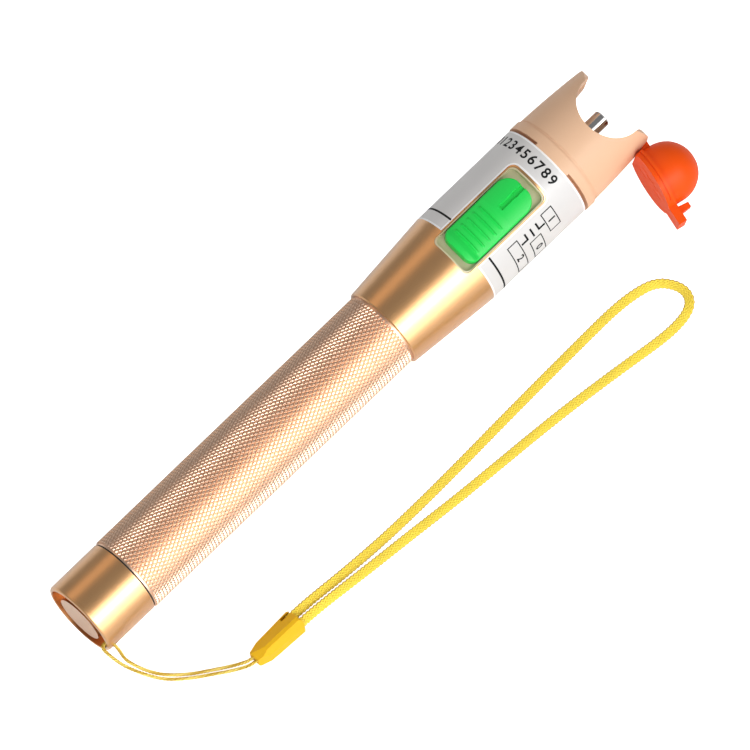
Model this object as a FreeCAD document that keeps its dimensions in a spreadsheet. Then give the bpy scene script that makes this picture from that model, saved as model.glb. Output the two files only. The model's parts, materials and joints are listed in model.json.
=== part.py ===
"""Parametric model of a visual fault locator: a pen torch that sends red laser light into a fibre.

The pen is drawn upright, tail at the origin and port along +Z, with the switch towards -Y and the
hinge of the dust cap towards +X. Every sub-part is then laid down by one placement: the pen rests
on its tail cap, on the shoulder of its head sleeve and on the rim of the open dust cap.
"""
import FreeCAD, Part
import math
import os
import Sketcher
from FreeCAD import Placement, Rotation, Vector

# Every driving dimension in millimetres and degrees: alias, value, meaning.
DIMENSIONS = [
    # tail cap
    ("tail_cap_length", 15.0, "outside length of the tail cap"),
    ("tail_cap_radius", 9.85, "outside radius of the tail cap"),
    ("tail_cap_rounding", 0.75, "rounding of the tail cap's end edge"),
    ("rim_wall", 1.0, "wall of the rim round the end groove"),
    ("rim_chamfer", 0.12, "chamfer of the rim's inner edge"),
    ("end_groove_depth", 3.2, "depth of the ring groove in the tail end"),
    ("boss_radius", 6.07, "radius of the disc inside the ring groove"),
    ("boss_recess", 0.2, "how far the disc lies below the rim"),
    ("cord_hole_radius", 1.0, "hole for the wrist cord, through the rim"),
    ("cord_hole_height", 2.0, "height of the cord hole above the tail end"),
    ("spring_seat", 5.2, "height of the floor that the battery spring sits on"),
    ("spigot_radius", 8.75, "threaded spigot of the tail cap, thread left plain"),
    ("spigot_length", 8.0, "length of the spigot"),
    ("thread_clearance", 0.05, "radial clearance of the threads"),
    ("seal_thickness", 0.4, "thickness of the sealing ring"),
    ("seal_recess", 0.35, "how far the sealing ring lies below the cap's surface"),
    # battery tube
    ("grip_radius", 10.0, "outside radius of the knurled grip"),
    ("grip_land_depth", 0.3, "depth of the plain lands at both ends of the knurl"),
    ("grip_land_length", 0.5, "length of the plain lands"),
    ("flute_count", 64, "flutes round the grip"),
    ("flute_depth", 0.2, "depth of the flutes"),
    ("flute_width", 0.34, "width of a flute at the surface"),
    ("battery_radius", 7.1, "radius of a battery cell"),
    ("battery_length", 50.5, "length of a cell with its contact nub"),
    ("nub_radius", 2.75, "radius of the contact nub"),
    ("nub_height", 1.0, "height of the contact nub"),
    ("battery_clearance", 0.3, "gap round the cells"),
    ("battery_start", 11.0, "height of the rear cell's flat end"),
    ("tube_spigot_radius", 9.2, "front spigot of the battery tube"),
    ("tube_spigot_gap", 1.6, "gap between the front spigot and the bottom of its socket"),
    # head sleeve and label
    ("sleeve_rear_radius", 10.65, "outside radius at the sleeve's rear lip"),
    ("sleeve_radius", 12.65, "outside radius of the head"),
    ("sleeve_cone_length", 23.5, "length of the cone behind the head"),
    ("sleeve_socket_length", 13.1, "depth of the socket for the battery tube's spigot"),
    ("sleeve_chamfer", 0.3, "chamfer of the rear lip"),
    ("sleeve_wall", 1.75, "wall of the head sleeve"),
    ("label_thickness", 0.15, "thickness of the wrapped label"),
    ("label_margin", 0.5, "label edge beside the window"),
    ("joint_clearance", 0.05, "gap of glued and pressed joints"),
    # switch
    ("window_width", 11.4, "width of the switch window"),
    ("window_length", 26.4, "length of the switch window"),
    ("window_overlap", 3.3, "how far the window reaches into the cone behind the head"),
    ("window_corner_radius", 1.6, "corner radius of the window"),
    ("tray_wall", 0.35, "wall round the switch tray"),
    ("tray_recess", 0.4, "how far the tray's lip lies below the head's surface"),
    ("tray_floor", 10.0, "distance of the tray floor from the pen's axis"),
    ("tray_floor_thickness", 1.3, "thickness of the tray floor"),
    ("tray_flange_thickness", 0.8, "thickness of the tray's inner flange"),
    ("tray_flange_margin", 0.8, "how far the flange reaches past the window"),
    ("knob_width", 10.0, "width of the switch knob"),
    ("knob_length", 21.8, "length of the switch knob"),
    ("knob_height", 0.7, "how far the knob stands above the head's surface"),
    ("knob_head_corner", 3.6, "corner radius at the knob's head end"),
    ("knob_tail_corner", 2.4, "corner radius at the knob's tail end"),
    ("knob_clearance", 0.15, "gap between knob and tray floor"),
    ("knob_travel", 1.8, "travel of the knob each way from off"),
    ("pointer_width", 1.45, "width of the pointer groove"),
    ("pointer_length", 7.5, "length of the pointer groove"),
    ("pointer_depth", 0.7, "depth of the pointer groove"),
    ("ridge_count", 5, "grip ridges on the knob"),
    ("ridge_pitch", 1.95, "distance between the ridges"),
    ("ridge_width", 0.55, "width of a ridge"),
    ("ridge_length", 7.5, "length of a ridge across the knob"),
    ("ridge_height", 0.35, "height of a ridge above the finger hollow"),
    ("hollow_radius", 26.0, "radius of the finger hollow"),
    ("hollow_depth", 0.6, "depth of the finger hollow"),
    ("lever_width", 2.0, "width of the switch lever"),
    ("lever_length", 3.0, "length of the switch lever"),
    ("lever_reach", 4.9, "length of the lever below the knob"),
    # crown
    ("crown_skirt_radius", 12.8, "radius of the crown's skirt"),
    ("crown_skirt_length", 3.1, "length of the crown's skirt"),
    ("crown_slot_height", 0.8, "height of the open slots under the skirt"),
    ("crown_tab_width", 10.1, "width of the tabs between the slots"),
    ("crown_groove_length", 0.8, "length of the groove above the skirt"),
    ("crown_groove_depth", 0.45, "depth of that groove below the skirt"),
    ("crown_base_radius", 12.45, "radius of the crown above the groove"),
    ("crown_top_radius", 11.3, "radius of the crown at the horn tips"),
    ("crown_side_curve", 250.0, "radius of the crown's curved side"),
    ("crown_height", 22.6, "height of the crown above the sleeve"),
    ("crown_spigot_gap", 0.2, "gap between the crown's spigot and the switch tray"),
    ("crown_spigot_length", 5.9, "length of the crown's spigot in the sleeve"),
    ("crown_spigot_wall", 2.2, "wall of the crown's spigot"),
    ("mouth_radius", 7.9, "radius of the round mouth between the horns"),
    ("mouth_floor_height", 10.6, "height of the mouth's floor above the sleeve"),
    ("mouth_floor_thickness", 5.0, "thickness of the mouth's floor"),
    ("saddle_radius", 8.3, "radius of the saddle cut from front to back"),
    ("saddle_drop", 10.7, "depth of the saddle below the horn tips"),
    ("horn_arch_radius", 14.0, "radius of the horns' arch seen from the side"),
    ("hinge_slot_width", 3.6, "width of the slots in the horns"),
    ("hinge_slot_depth", 3.8, "depth of the slots below the horn tips"),
    ("pin_radius", 0.6, "radius of the dust cap's trunnions"),
    ("pin_clearance", 0.05, "radial clearance of the trunnions"),
    ("pin_reach", 1.7, "length of each trunnion beside the knuckle"),
    # optical port and laser
    ("ferrule_bore_radius", 1.25, "bore that takes a fibre ferrule"),
    ("ferrule_sleeve_wall", 0.37, "wall of the split sleeve"),
    ("ferrule_sleeve_length", 11.4, "length of the split sleeve"),
    ("ferrule_sleeve_slit", 0.3, "slit of the split sleeve"),
    ("port_radius", 2.07, "outside radius of the port barrel"),
    ("port_height", 8.0, "height of the port tip above the mouth's floor"),
    ("port_chamfer", 0.3, "chamfer of the port tip"),
    ("port_flange_radius", 4.5, "flange of the port barrel"),
    ("port_flange_thickness", 1.4, "thickness of that flange"),
    ("port_end_wall", 0.6, "depth of the lead-in above the split sleeve"),
    ("nut_across_flats", 7.0, "size of the port nut"),
    ("nut_thickness", 1.2, "thickness of the port nut"),
    ("laser_radius", 6.0, "radius of the laser housing"),
    ("laser_length", 16.0, "length of the laser housing"),
    ("laser_wall", 2.8, "wall of the laser housing at the lens"),
    ("diode_flange_radius", 2.8, "radius of the laser diode's flange"),
    ("diode_flange_thickness", 1.2, "thickness of the diode's flange"),
    ("diode_can_radius", 2.35, "radius of the diode's can"),
    ("diode_can_height", 3.5, "height of the diode's can"),
    ("diode_pin_radius", 0.225, "radius of a diode lead"),
    ("diode_pin_pitch", 1.27, "distance between the diode leads"),
    ("diode_pin_length", 3.2, "length of the diode leads"),
    ("lens_offset", 8.0, "height of the lens seat in the laser housing"),
    ("lens_thickness", 1.4, "edge thickness of the lens"),
    ("lens_bulge", 0.8, "height of the lens's curved face"),
    ("lens_ring_wall", 1.0, "wall of the ring that holds the lens"),
    ("lens_ring_length", 1.6, "length of that ring"),
    # electronics
    ("board_width", 16.8, "width of the circuit board"),
    ("board_gap", 0.6, "gap between the circuit board and the laser housing"),
    ("board_thickness", 1.0, "thickness of the circuit board"),
    ("board_face", 2.2, "distance of the board's front face from the axis"),
    ("board_start", 3.0, "height of the board above the sleeve's inner shoulder"),
    ("insulator_thickness", 2.0, "thickness of the contact insulator"),
    ("contact_radius", 7.0, "radius of the battery contact"),
    ("contact_thickness", 0.4, "thickness of the battery contact"),
    ("contact_tab_width", 3.0, "width of the contact's tab"),
    ("contact_tab_length", 5.6, "length of the contact's tab"),
    ("chassis_wall", 1.4, "wall of the chassis"),
    ("chassis_end_wall", 1.2, "thickness of the chassis end wall"),
    ("cradle_length", 4.2, "length of the laser cradle in the chassis"),
    ("switch_body_width", 8.6, "width of the slide switch"),
    ("switch_body_length", 13.0, "length of the slide switch"),
    ("switch_body_height", 4.3, "height of the slide switch above the board"),
    ("switch_slot_depth", 1.9, "depth of the slide switch's slot"),
    ("chip_width", 4.0, "width of the driver chip"),
    ("chip_length", 5.0, "length of the driver chip"),
    ("chip_height", 1.5, "height of the driver chip"),
    ("screw_offset", 6.3, "distance of the board screws from the middle"),
    ("screw_shank_radius", 0.6, "radius of a board screw"),
    ("screw_head_radius", 1.4, "radius of a board screw's head"),
    ("screw_head_height", 0.8, "height of a board screw's head"),
    ("screw_length", 4.5, "length of a board screw below its head"),
    ("screw_boss_radius", 1.9, "radius of the chassis bosses"),
    # battery spring
    ("spring_radius", 4.4, "mean radius of the battery spring"),
    ("spring_wire_radius", 0.4, "radius of the spring wire"),
    ("spring_turns", 3.5, "turns of the battery spring"),
    ("spring_cone_angle", 8.0, "how fast the spring widens towards its seat"),
    ("contact_gap", 0.2, "gap between the spring and the rear cell"),
    # dust cap
    ("lid_radius", 8.25, "radius of the dust cap's plate"),
    ("lid_thickness", 2.1, "thickness of the plate"),
    ("lid_gap", 0.2, "gap between the closed plate and the horn tips"),
    ("lid_open_lean", 12.0, "how far the open plate leans past square"),
    ("lid_stop_gap", 0.15, "gap between the open plate and the horn"),
    ("dome_radius", 7.4, "radius of the dust cap's dome"),
    ("dome_wall_length", 2.6, "straight wall below the dome"),
    ("port_pocket_radius", 2.4, "pocket in the dome for the port"),
    ("port_pocket_depth", 7.0, "depth of that pocket"),
    ("port_pocket_flare", 4.9, "how much the pocket widens towards the hinge at its mouth"),
    ("lid_tab_reach", 22.0, "distance of the finger tab's end from the hinge"),
    ("lid_tab_width", 6.0, "width of the finger tab"),
    ("catch_reach", 18.9, "distance of the catch from the hinge"),
    ("catch_length", 2.0, "length of the catch at its root"),
    ("catch_width", 2.6, "width of the catch"),
    ("catch_height", 2.9, "height of the catch"),
    ("knuckle_radius", 1.2, "radius of the hinge knuckle"),
    ("knuckle_width", 3.2, "width of the hinge knuckle"),
    ("rest_gap", 0.02, "gap under the lid's rim when the pen lies on its cap and shoulder"),
    ("lid_line_depth", 0.25, "depth of the lines on the dust cap"),
    # wrist cord
    ("string_diameter", 0.9, "diameter of the thin cord through the rim"),
    ("strap_diameter", 2.5, "width of the wrist strap"),
    ("adjuster_length", 13.7, "length of the cord adjuster"),
    ("adjuster_width", 6.3, "width of the adjuster at its strap end"),
    ("adjuster_neck_width", 5.0, "width of the adjuster behind its nose"),
    ("adjuster_nose_width", 3.0, "width of the adjuster at its string end"),
    ("adjuster_nose_length", 3.0, "length of the adjuster's nose"),
    ("adjuster_height", 4.6, "height of the adjuster"),
    ("adjuster_ridge", 1.0, "how far the adjuster's ridge lies beside its middle"),
    ("adjuster_edge", 0.5, "bevel of the adjuster's edges"),
    ("adjuster_socket", 3.0, "depth of the adjuster's sockets"),
    ("cord_height", 1.7, "height of the cords where they enter the adjuster"),
    ("string_spacing", 1.15, "distance between the two runs of the thin cord"),
    ("strap_spacing", 2.7, "distance between the two runs of the strap"),
]

doc = FreeCAD.newDocument("VisualFaultLocator")
sheet = doc.addObject("Spreadsheet::Sheet", "Sizes")


class Size:
    """A dimension: the expression that ties it to the sheet, and its present number."""

    def __init__(self, text, number):
        self.text = text
        self.number = number

    def __add__(self, other):
        other = as_size(other)
        return Size(f"({self.text} + {other.text})", self.number + other.number)

    def __sub__(self, other):
        other = as_size(other)
        return Size(f"({self.text} - {other.text})", self.number - other.number)

    def __mul__(self, other):
        other = as_size(other)
        return Size(f"({self.text} * {other.text})", self.number * other.number)

    def __truediv__(self, other):
        other = as_size(other)
        return Size(f"({self.text} / {other.text})", self.number / other.number)

    def __radd__(self, other):
        return as_size(other) + self

    def __rsub__(self, other):
        return as_size(other) - self

    def __rmul__(self, other):
        return as_size(other) * self

    def __neg__(self):
        return Size(f"(0 - {self.text})", -self.number)


def as_size(value):
    """A plain number as a Size, and a Size as it is."""
    if isinstance(value, Size):
        return value
    return Size(repr(value), value)


def fill_sheet():
    """Writes the dimensions into the sheet and returns them by name."""
    found = {}
    for row, (alias, number, meaning) in enumerate(DIMENSIONS, 1):
        sheet.set(f"A{row}", meaning)
        sheet.set(f"B{row}", str(number))
        sheet.setAlias(f"B{row}", alias)
        found[alias] = Size(f"Sizes.{alias}", number)
    doc.recompute()
    return found


S = fill_sheet()
FULL_TURN = 360.0

# Where the adjuster's string end lies, and the corners of the two cords' routes, all in the frame
# of the part as it lies, in millimetres.
ADJUSTER_PLACE = (-67.1, -24.88, 0.02)
STRING_ROUTE = [
    (-65.4, -24.31, 1.7),
    (-68.0, -24.31, 1.7),
    (-70.2, -22.8, 1.1),
    (-72.6, -21.0, 0.55),
    (-75.4, -19.0, 0.5),
    (-79.2, -16.3, 0.52),
    (-82.4, -13.6, 1.0),
    (-84.7, -11.4, 2.0),
    (-86.4, -9.0, 3.2),
    (-87.6, -6.7, 4.5),
    (-88.4, -4.3, 5.7),
    (-87.8, -2.0, 6.63),
    (-87.8, 1.2, 7.59),
    (-90.4, 1.2, 7.53),
    (-90.4, -1.4, 6.74),
    (-89.8, -4.6, 5.7),
    (-88.7, -7.1, 4.5),
    (-87.3, -9.5, 3.2),
    (-85.5, -12.1, 2.0),
    (-83.2, -14.4, 1.0),
    (-79.8, -17.2, 0.52),
    (-76.0, -19.9, 0.5),
    (-73.2, -22.0, 0.55),
    (-70.7, -23.9, 1.1),
    (-68.2, -25.46, 1.7),
    (-65.4, -25.46, 1.7),
]
STRAP_ROUTE = [
    (-54.9, -23.53, 1.7),
    (-51.7, -23.53, 1.7),
    (-46.8, -23.6, 1.34),
    (-38.6, -24.3, 1.28),
    (-26.9, -24.9, 1.28),
    (-15.1, -24.9, 1.28),
    (-0.9, -24.5, 1.28),
    (13.3, -23.9, 1.28),
    (27.5, -23.4, 1.28),
    (41.7, -23.0, 1.28),
    (51.2, -22.8, 1.28),
    (57.7, -23.4, 1.28),
    (62.8, -24.9, 1.28),
    (65.4, -27.9, 1.28),
    (66.5, -31.6, 1.28),
    (65.1, -34.7, 1.28),
    (61.9, -36.2, 1.28),
    (57.1, -36.5, 1.28),
    (52.0, -36.0, 1.28),
    (46.6, -35.2, 1.28),
    (38.5, -34.1, 1.28),
    (26.8, -32.7, 1.28),
    (15.0, -31.7, 1.28),
    (3.3, -30.9, 1.28),
    (-8.4, -30.0, 1.28),
    (-20.1, -28.8, 1.28),
    (-31.8, -27.8, 1.28),
    (-40.0, -27.0, 1.28),
    (-47.1, -26.35, 1.34),
    (-51.9, -26.23, 1.7),
    (-54.9, -26.23, 1.7),
]
REACH = 3 * S["crown_skirt_radius"]  # longer than any cut through the pen is deep


def bind(target, settings):
    """Ties each named property of a document object to its Size."""
    for name, size in settings.items():
        target.setExpression(name, as_size(size).text)


def move_to(target, x=0, y=0, z=0):
    bind(target, {".Placement.Base.x": x, ".Placement.Base.y": y, ".Placement.Base.z": z})


def origin_plane(body, role):
    return next(f for f in body.Origin.OriginFeatures if f.Role == role)


def add_sketch(body, name, role, outline):
    """A closed outline on an origin plane, each corner tied to the sheet.

    A corner is (across, along), or (across, along, radius) where the edge that leaves it is an arc
    that bulges to the right of its direction, or to the left where the radius is negative.
    """
    sketch = body.newObject("Sketcher::SketchObject", name)
    sketch.AttachmentSupport = [(origin_plane(body, role), "")]
    sketch.MapMode = "FlatFace"
    corners = [(as_size(c[0]), as_size(c[1])) for c in outline]
    points = [Vector(c[0].number, c[1].number, 0) for c in corners]
    arcs = {}
    for index, corner in enumerate(outline):
        start = points[index]
        end = points[(index + 1) % len(points)]
        if len(corner) == 2:
            sketch.addGeometry(Part.LineSegment(start, end), False)
            continue
        radius = as_size(corner[2])
        middle = arc_middle(start, end, radius.number)
        sketch.addGeometry(Part.Arc(start, middle, end), False)
        arcs[index] = radius if radius.number > 0 else -radius
    last = len(points) - 1
    ends = {i: arc_ends(sketch.Geometry[i], points[i]) for i in arcs}
    for index in range(len(points)):
        before = last if index == 0 else index - 1
        tail = ends[before][1] if before in ends else 2
        head = ends[index][0] if index in ends else 1
        sketch.addConstraint(Sketcher.Constraint("Coincident", before, tail, index, head))
    for index, (across, along) in enumerate(corners):
        head = ends[index][0] if index in ends else 1
        tie_point(sketch, index, head, across, along)
    for index, radius in arcs.items():
        row = sketch.addConstraint(Sketcher.Constraint("Radius", index, abs(radius.number)))
        sketch.setExpression(f"Constraints[{row}]", radius.text)
    return sketch


def arc_middle(start, end, radius):
    """The middle of the short arc from start to end; a positive radius bulges to the right."""
    chord = end.sub(start)
    half = chord.Length / 2
    rise = abs(radius) - math.sqrt(max(radius * radius - half * half, 0.0))
    side = Vector(chord.y, -chord.x, 0)
    side.normalize()
    if radius < 0:
        side = side.multiply(-1)
    return start.add(chord.multiply(0.5)).add(side.multiply(rise))


def arc_ends(arc, start):
    """Which of an arc's ends, 1 or 2, is the start of its edge, and which is the end."""
    if arc.StartPoint.distanceToPoint(start) < arc.EndPoint.distanceToPoint(start):
        return 1, 2
    return 2, 1


def tie_point(sketch, edge, end, across, along):
    for kind, axis, size in (("DistanceX", -2, across), ("DistanceY", -1, along)):
        if size.text in ("0", "0.0"):
            sketch.addConstraint(Sketcher.Constraint("PointOnObject", edge, end, axis))
            continue
        row = sketch.addConstraint(Sketcher.Constraint(kind, -1, 1, edge, end, size.number))
        sketch.setExpression(f"Constraints[{row}]", size.text)


def turned(label, outline):
    """A solid of revolution about the pen's axis from a closed (radius, height) outline."""
    body = doc.addObject("PartDesign::Body", label)
    sketch = add_sketch(body, label + "_outline", "XZ_Plane", outline)
    doc.recompute()
    turn = body.newObject("PartDesign::Revolution", label + "_turn")
    turn.Profile = sketch
    turn.ReferenceAxis = (sketch, ["V_Axis"])
    turn.Angle = FULL_TURN
    body.Tip = turn
    return body


def padded(label, role, outline, start, length):
    """A straight solid from an outline on an origin plane, from start over length along +axis."""
    body = doc.addObject("PartDesign::Body", label)
    sketch = add_sketch(body, label + "_outline", role, outline)
    doc.recompute()
    pad = body.newObject("PartDesign::Pad", label + "_pad")
    pad.Profile = sketch
    bind(pad, {"Length": length})
    pad.Reversed = role == "XZ_Plane"
    body.Tip = pad
    axis = {"XY_Plane": "z", "XZ_Plane": "y", "YZ_Plane": "x"}[role]
    bind(body, {f".Placement.Base.{axis}": start})
    return body


def box(name, x, y, z):
    """A box between three pairs of Sizes."""
    solid = doc.addObject("Part::Box", name)
    (x0, x1), (y0, y1), (z0, z1) = x, y, z
    bind(solid, {"Length": as_size(x1) - x0, "Width": as_size(y1) - y0, "Height": as_size(z1) - z0})
    move_to(solid, x0, y0, z0)
    return solid


TURN_TO = {"z": Rotation(), "x": Rotation(Vector(0, 1, 0), 90), "y": Rotation(Vector(1, 0, 0), -90)}


def rod(name, radius, length, axis, x=0, y=0, z=0):
    """A cylinder that starts at the given point and runs along +x, +y or +z."""
    solid = doc.addObject("Part::Cylinder", name)
    solid.Placement = Placement(Vector(), TURN_TO[axis])
    bind(solid, {"Radius": radius, "Height": length})
    move_to(solid, x, y, z)
    return solid


def cut(name, base, tools):
    """The base less all the tools."""
    tool = tools[0] if len(tools) == 1 else fuse(name + "_tools", tools)
    result = doc.addObject("Part::Cut", name)
    result.Base = base
    result.Tool = tool
    result.Refine = True
    return result


def fuse(name, parts):
    result = doc.addObject("Part::MultiFuse", name)
    result.Shapes = parts
    result.Refine = True
    return result


def common(name, parts):
    result = doc.addObject("Part::MultiCommon", name)
    result.Shapes = parts
    result.Refine = True
    return result


def parallel_edges(shape, axis):
    """Numbers of the straight edges of a shape that run along an axis."""
    found = []
    for number, edge in enumerate(shape.Edges, 1):
        if len(edge.Vertexes) != 2 or not isinstance(edge.Curve, Part.Line):
            continue
        if abs(edge.Curve.Direction.dot(axis)) > 0.999:
            found.append(number)
    return found


def rounded(name, solid, chosen):
    """Rounds edges: chosen pairs an edge number with a Size."""
    result = doc.addObject("Part::Fillet", name)
    result.Base = solid
    result.Edges = [(number, size.number, size.number) for number, size in chosen]
    return result


def rounded_plate(name, x, y, z, tail_corner, head_corner):
    """A box whose edges along Y are rounded, with one radius at its tail and one at its head."""
    plain = box(name + "_block", x, y, z)
    doc.recompute()
    middle = plain.Shape.BoundBox.Center.z
    chosen = []
    for number in parallel_edges(plain.Shape, Vector(0, 1, 0)):
        at_tail = plain.Shape.Edges[number - 1].BoundBox.Center.z < middle
        chosen.append((number, tail_corner if at_tail else head_corner))
    return rounded(name, plain, chosen)


# Heights along the pen that several pieces share.
GRIP_START = S["tail_cap_length"]
FRONT_CELL = S["battery_start"] + S["battery_length"]
CELLS_END = FRONT_CELL + S["battery_length"]
GRIP_END = CELLS_END - S["sleeve_socket_length"]
SHOULDER = GRIP_END + S["sleeve_cone_length"]
WINDOW_START = SHOULDER - S["window_overlap"]
WINDOW_END = WINDOW_START + S["window_length"]
WINDOW_MIDDLE = WINDOW_START + S["window_length"] / 2
HALF_WINDOW = S["window_width"] / 2
SPIGOT_START = WINDOW_END + S["tray_flange_margin"] + S["crown_spigot_gap"]
SLEEVE_END = SPIGOT_START + S["crown_spigot_length"]
TIP = SLEEVE_END + S["crown_height"]
TUBE_BORE = S["battery_radius"] + S["battery_clearance"]
THREAD_BORE = S["spigot_radius"] + S["thread_clearance"]
SPIGOT_END = GRIP_START + S["spigot_length"]
HEAD_BORE = S["sleeve_radius"] - S["sleeve_wall"]
MOUTH_FLOOR = SLEEVE_END + S["mouth_floor_height"]
FLOOR_UNDERSIDE = MOUTH_FLOOR - S["mouth_floor_thickness"]
PORT_TIP = MOUTH_FLOOR + S["port_height"]
LASER_END = FLOOR_UNDERSIDE - S["port_flange_thickness"]
LASER_START = LASER_END - S["laser_length"]
BOARD_START = CELLS_END + S["board_start"]
BOARD_END = LASER_START - S["board_gap"]
BOARD_BACK = S["board_thickness"] - S["board_face"]
PIN_X = (S["saddle_radius"] + S["crown_top_radius"]) / 2
HORN_ROUNDING = (S["crown_top_radius"] - S["saddle_radius"]) / 2
PIN_Z = TIP - HORN_ROUNDING


def make_tail_cap():
    groove_radius = S["tail_cap_radius"] - S["rim_wall"]
    seal_seat = GRIP_START - S["seal_thickness"]
    body = turned("tail_cap_body", [
        (0, S["boss_recess"]),
        (S["boss_radius"], S["boss_recess"]),
        (S["boss_radius"], S["end_groove_depth"]),
        (groove_radius, S["end_groove_depth"]),
        (groove_radius, S["rim_chamfer"]),
        (groove_radius + S["rim_chamfer"], 0),
        (S["tail_cap_radius"] - S["tail_cap_rounding"], 0, S["tail_cap_rounding"]),
        (S["tail_cap_radius"], S["tail_cap_rounding"]),
        (S["tail_cap_radius"], seal_seat),
        (S["spigot_radius"], seal_seat),
        (S["spigot_radius"], SPIGOT_END),
        (TUBE_BORE, SPIGOT_END),
        (TUBE_BORE, S["spring_seat"]),
        (0, S["spring_seat"]),
    ])
    hole = rod("cord_hole", S["cord_hole_radius"], REACH, "x",
               x=(groove_radius + S["boss_radius"]) / 2, z=S["cord_hole_height"])
    return cut("tail_cap", body, [hole])


def make_tail_seal():
    return turned("tail_seal", [
        (THREAD_BORE, GRIP_START - S["seal_thickness"]),
        (S["tail_cap_radius"] - S["seal_recess"], GRIP_START - S["seal_thickness"]),
        (S["tail_cap_radius"] - S["seal_recess"], GRIP_START - S["thread_clearance"]),
        (THREAD_BORE, GRIP_START - S["thread_clearance"]),
    ])


def make_battery_spring():
    """A conical compression spring, pressed between the tail cap and the rear cell."""
    body = doc.addObject("PartDesign::Body", "battery_spring")
    wire = body.newObject("Sketcher::SketchObject", "spring_wire")
    wire.AttachmentSupport = [(origin_plane(body, "XZ_Plane"), "")]
    wire.MapMode = "FlatFace"
    radius = S["spring_wire_radius"]
    centre = Vector(S["spring_radius"].number, S["spring_seat"].number + radius.number, 0)
    circle = wire.addGeometry(Part.Circle(centre, Vector(0, 0, 1), radius.number), False)
    row = wire.addConstraint(Sketcher.Constraint("Radius", circle, radius.number))
    wire.setExpression(f"Constraints[{row}]", radius.text)
    tie_point(wire, circle, 3, S["spring_radius"], S["spring_seat"] + radius)
    doc.recompute()
    coil = body.newObject("PartDesign::AdditiveHelix", "spring_coil")
    coil.Profile = wire
    coil.ReferenceAxis = (wire, ["V_Axis"])
    coil.Mode = "height-turns-angle"
    rise = S["battery_start"] - S["spring_seat"] - S["contact_gap"] - 2 * radius
    bind(coil, {"Height": rise, "Turns": S["spring_turns"], "Angle": -S["spring_cone_angle"]})
    body.Tip = coil
    return body


def make_grip_tube():
    land_radius = S["grip_radius"] - S["grip_land_depth"]
    spigot_end = CELLS_END - S["tube_spigot_gap"]
    body = turned("grip_tube_body", [
        (THREAD_BORE, GRIP_START),
        (land_radius, GRIP_START),
        (land_radius, GRIP_START + S["grip_land_length"]),
        (S["grip_radius"], GRIP_START + S["grip_land_length"]),
        (S["grip_radius"], GRIP_END - S["grip_land_length"]),
        (land_radius, GRIP_END - S["grip_land_length"]),
        (land_radius, GRIP_END),
        (S["tube_spigot_radius"], GRIP_END),
        (S["tube_spigot_radius"], spigot_end),
        (TUBE_BORE, spigot_end),
        (TUBE_BORE, SPIGOT_END + S["thread_clearance"]),
        (THREAD_BORE, SPIGOT_END + S["thread_clearance"]),
    ])
    doc.recompute()
    return fluted("grip_tube", body)


def fluted(label, body):
    """The grip with shallow V flutes cut along it, all round."""
    deep = S["grip_radius"].number - S["flute_depth"].number
    over = S["grip_radius"].number + S["flute_depth"].number
    half = S["flute_width"].number
    low = GRIP_START.number + S["grip_land_length"].number / 2
    high = GRIP_END.number - S["grip_land_length"].number / 2
    corners = [Vector(deep, 0, low), Vector(over, -half, low), Vector(over, half, low)]
    wedge = Part.Face(Part.makePolygon(corners + corners[:1])).extrude(Vector(0, 0, high - low))
    count = int(S["flute_count"].number)
    wedges = []
    for number in range(count):
        turn = Rotation(Vector(0, 0, 1), FULL_TURN * number / count)
        wedges.append(wedge.transformed(Placement(Vector(), turn).toMatrix()))
    result = doc.addObject("Part::Feature", label)
    result.Shape = body.Shape.cut(wedges)
    return result


def make_cell(label, start):
    """One battery cell with its nub towards the head."""
    shoulder = start + S["battery_length"] - S["nub_height"]
    edge = S["battery_radius"] / 10
    return turned(label, [
        (0, start),
        (S["battery_radius"] - edge, start, edge),
        (S["battery_radius"], start + edge),
        (S["battery_radius"], shoulder - edge, edge),
        (S["battery_radius"] - edge, shoulder),
        (S["nub_radius"], shoulder),
        (S["nub_radius"], shoulder + S["nub_height"]),
        (0, shoulder + S["nub_height"]),
    ])


def window_tool(name, margin, depth):
    """A prism through the front wall with the window's outline, larger by margin."""
    half = HALF_WINDOW + margin
    corner = S["window_corner_radius"] + margin
    return rounded_plate(name, (-half, half), (-REACH, -as_size(depth)),
                         (WINDOW_START - margin, WINDOW_END + margin), corner, corner)


def make_head_sleeve():
    recess = S["sleeve_radius"] - S["label_thickness"]
    rear_bore = S["tube_spigot_radius"] + S["joint_clearance"]
    label_start = SHOULDER + S["label_thickness"]
    body = turned("head_sleeve_body", [
        (rear_bore, GRIP_END),
        (S["sleeve_rear_radius"] - S["sleeve_chamfer"], GRIP_END),
        (S["sleeve_rear_radius"], GRIP_END + S["sleeve_chamfer"]),
        (S["sleeve_radius"], SHOULDER),
        (S["sleeve_radius"], label_start),
        (recess, label_start),
        (recess, SLEEVE_END),
        (HEAD_BORE, SLEEVE_END),
        (HEAD_BORE, CELLS_END),
        (rear_bore, CELLS_END),
    ])
    return cut("head_sleeve", body, [window_tool("sleeve_window", 0, 2.0)])


def make_label_wrap():
    label_start = SHOULDER + S["label_thickness"]
    body = turned("label_body", [
        (S["sleeve_radius"] - S["label_thickness"], label_start),
        (S["sleeve_radius"], label_start),
        (S["sleeve_radius"], SLEEVE_END),
        (S["sleeve_radius"] - S["label_thickness"], SLEEVE_END),
    ])
    return cut("label_wrap", body, [window_tool("label_window", S["label_margin"], 2.0)])


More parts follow.
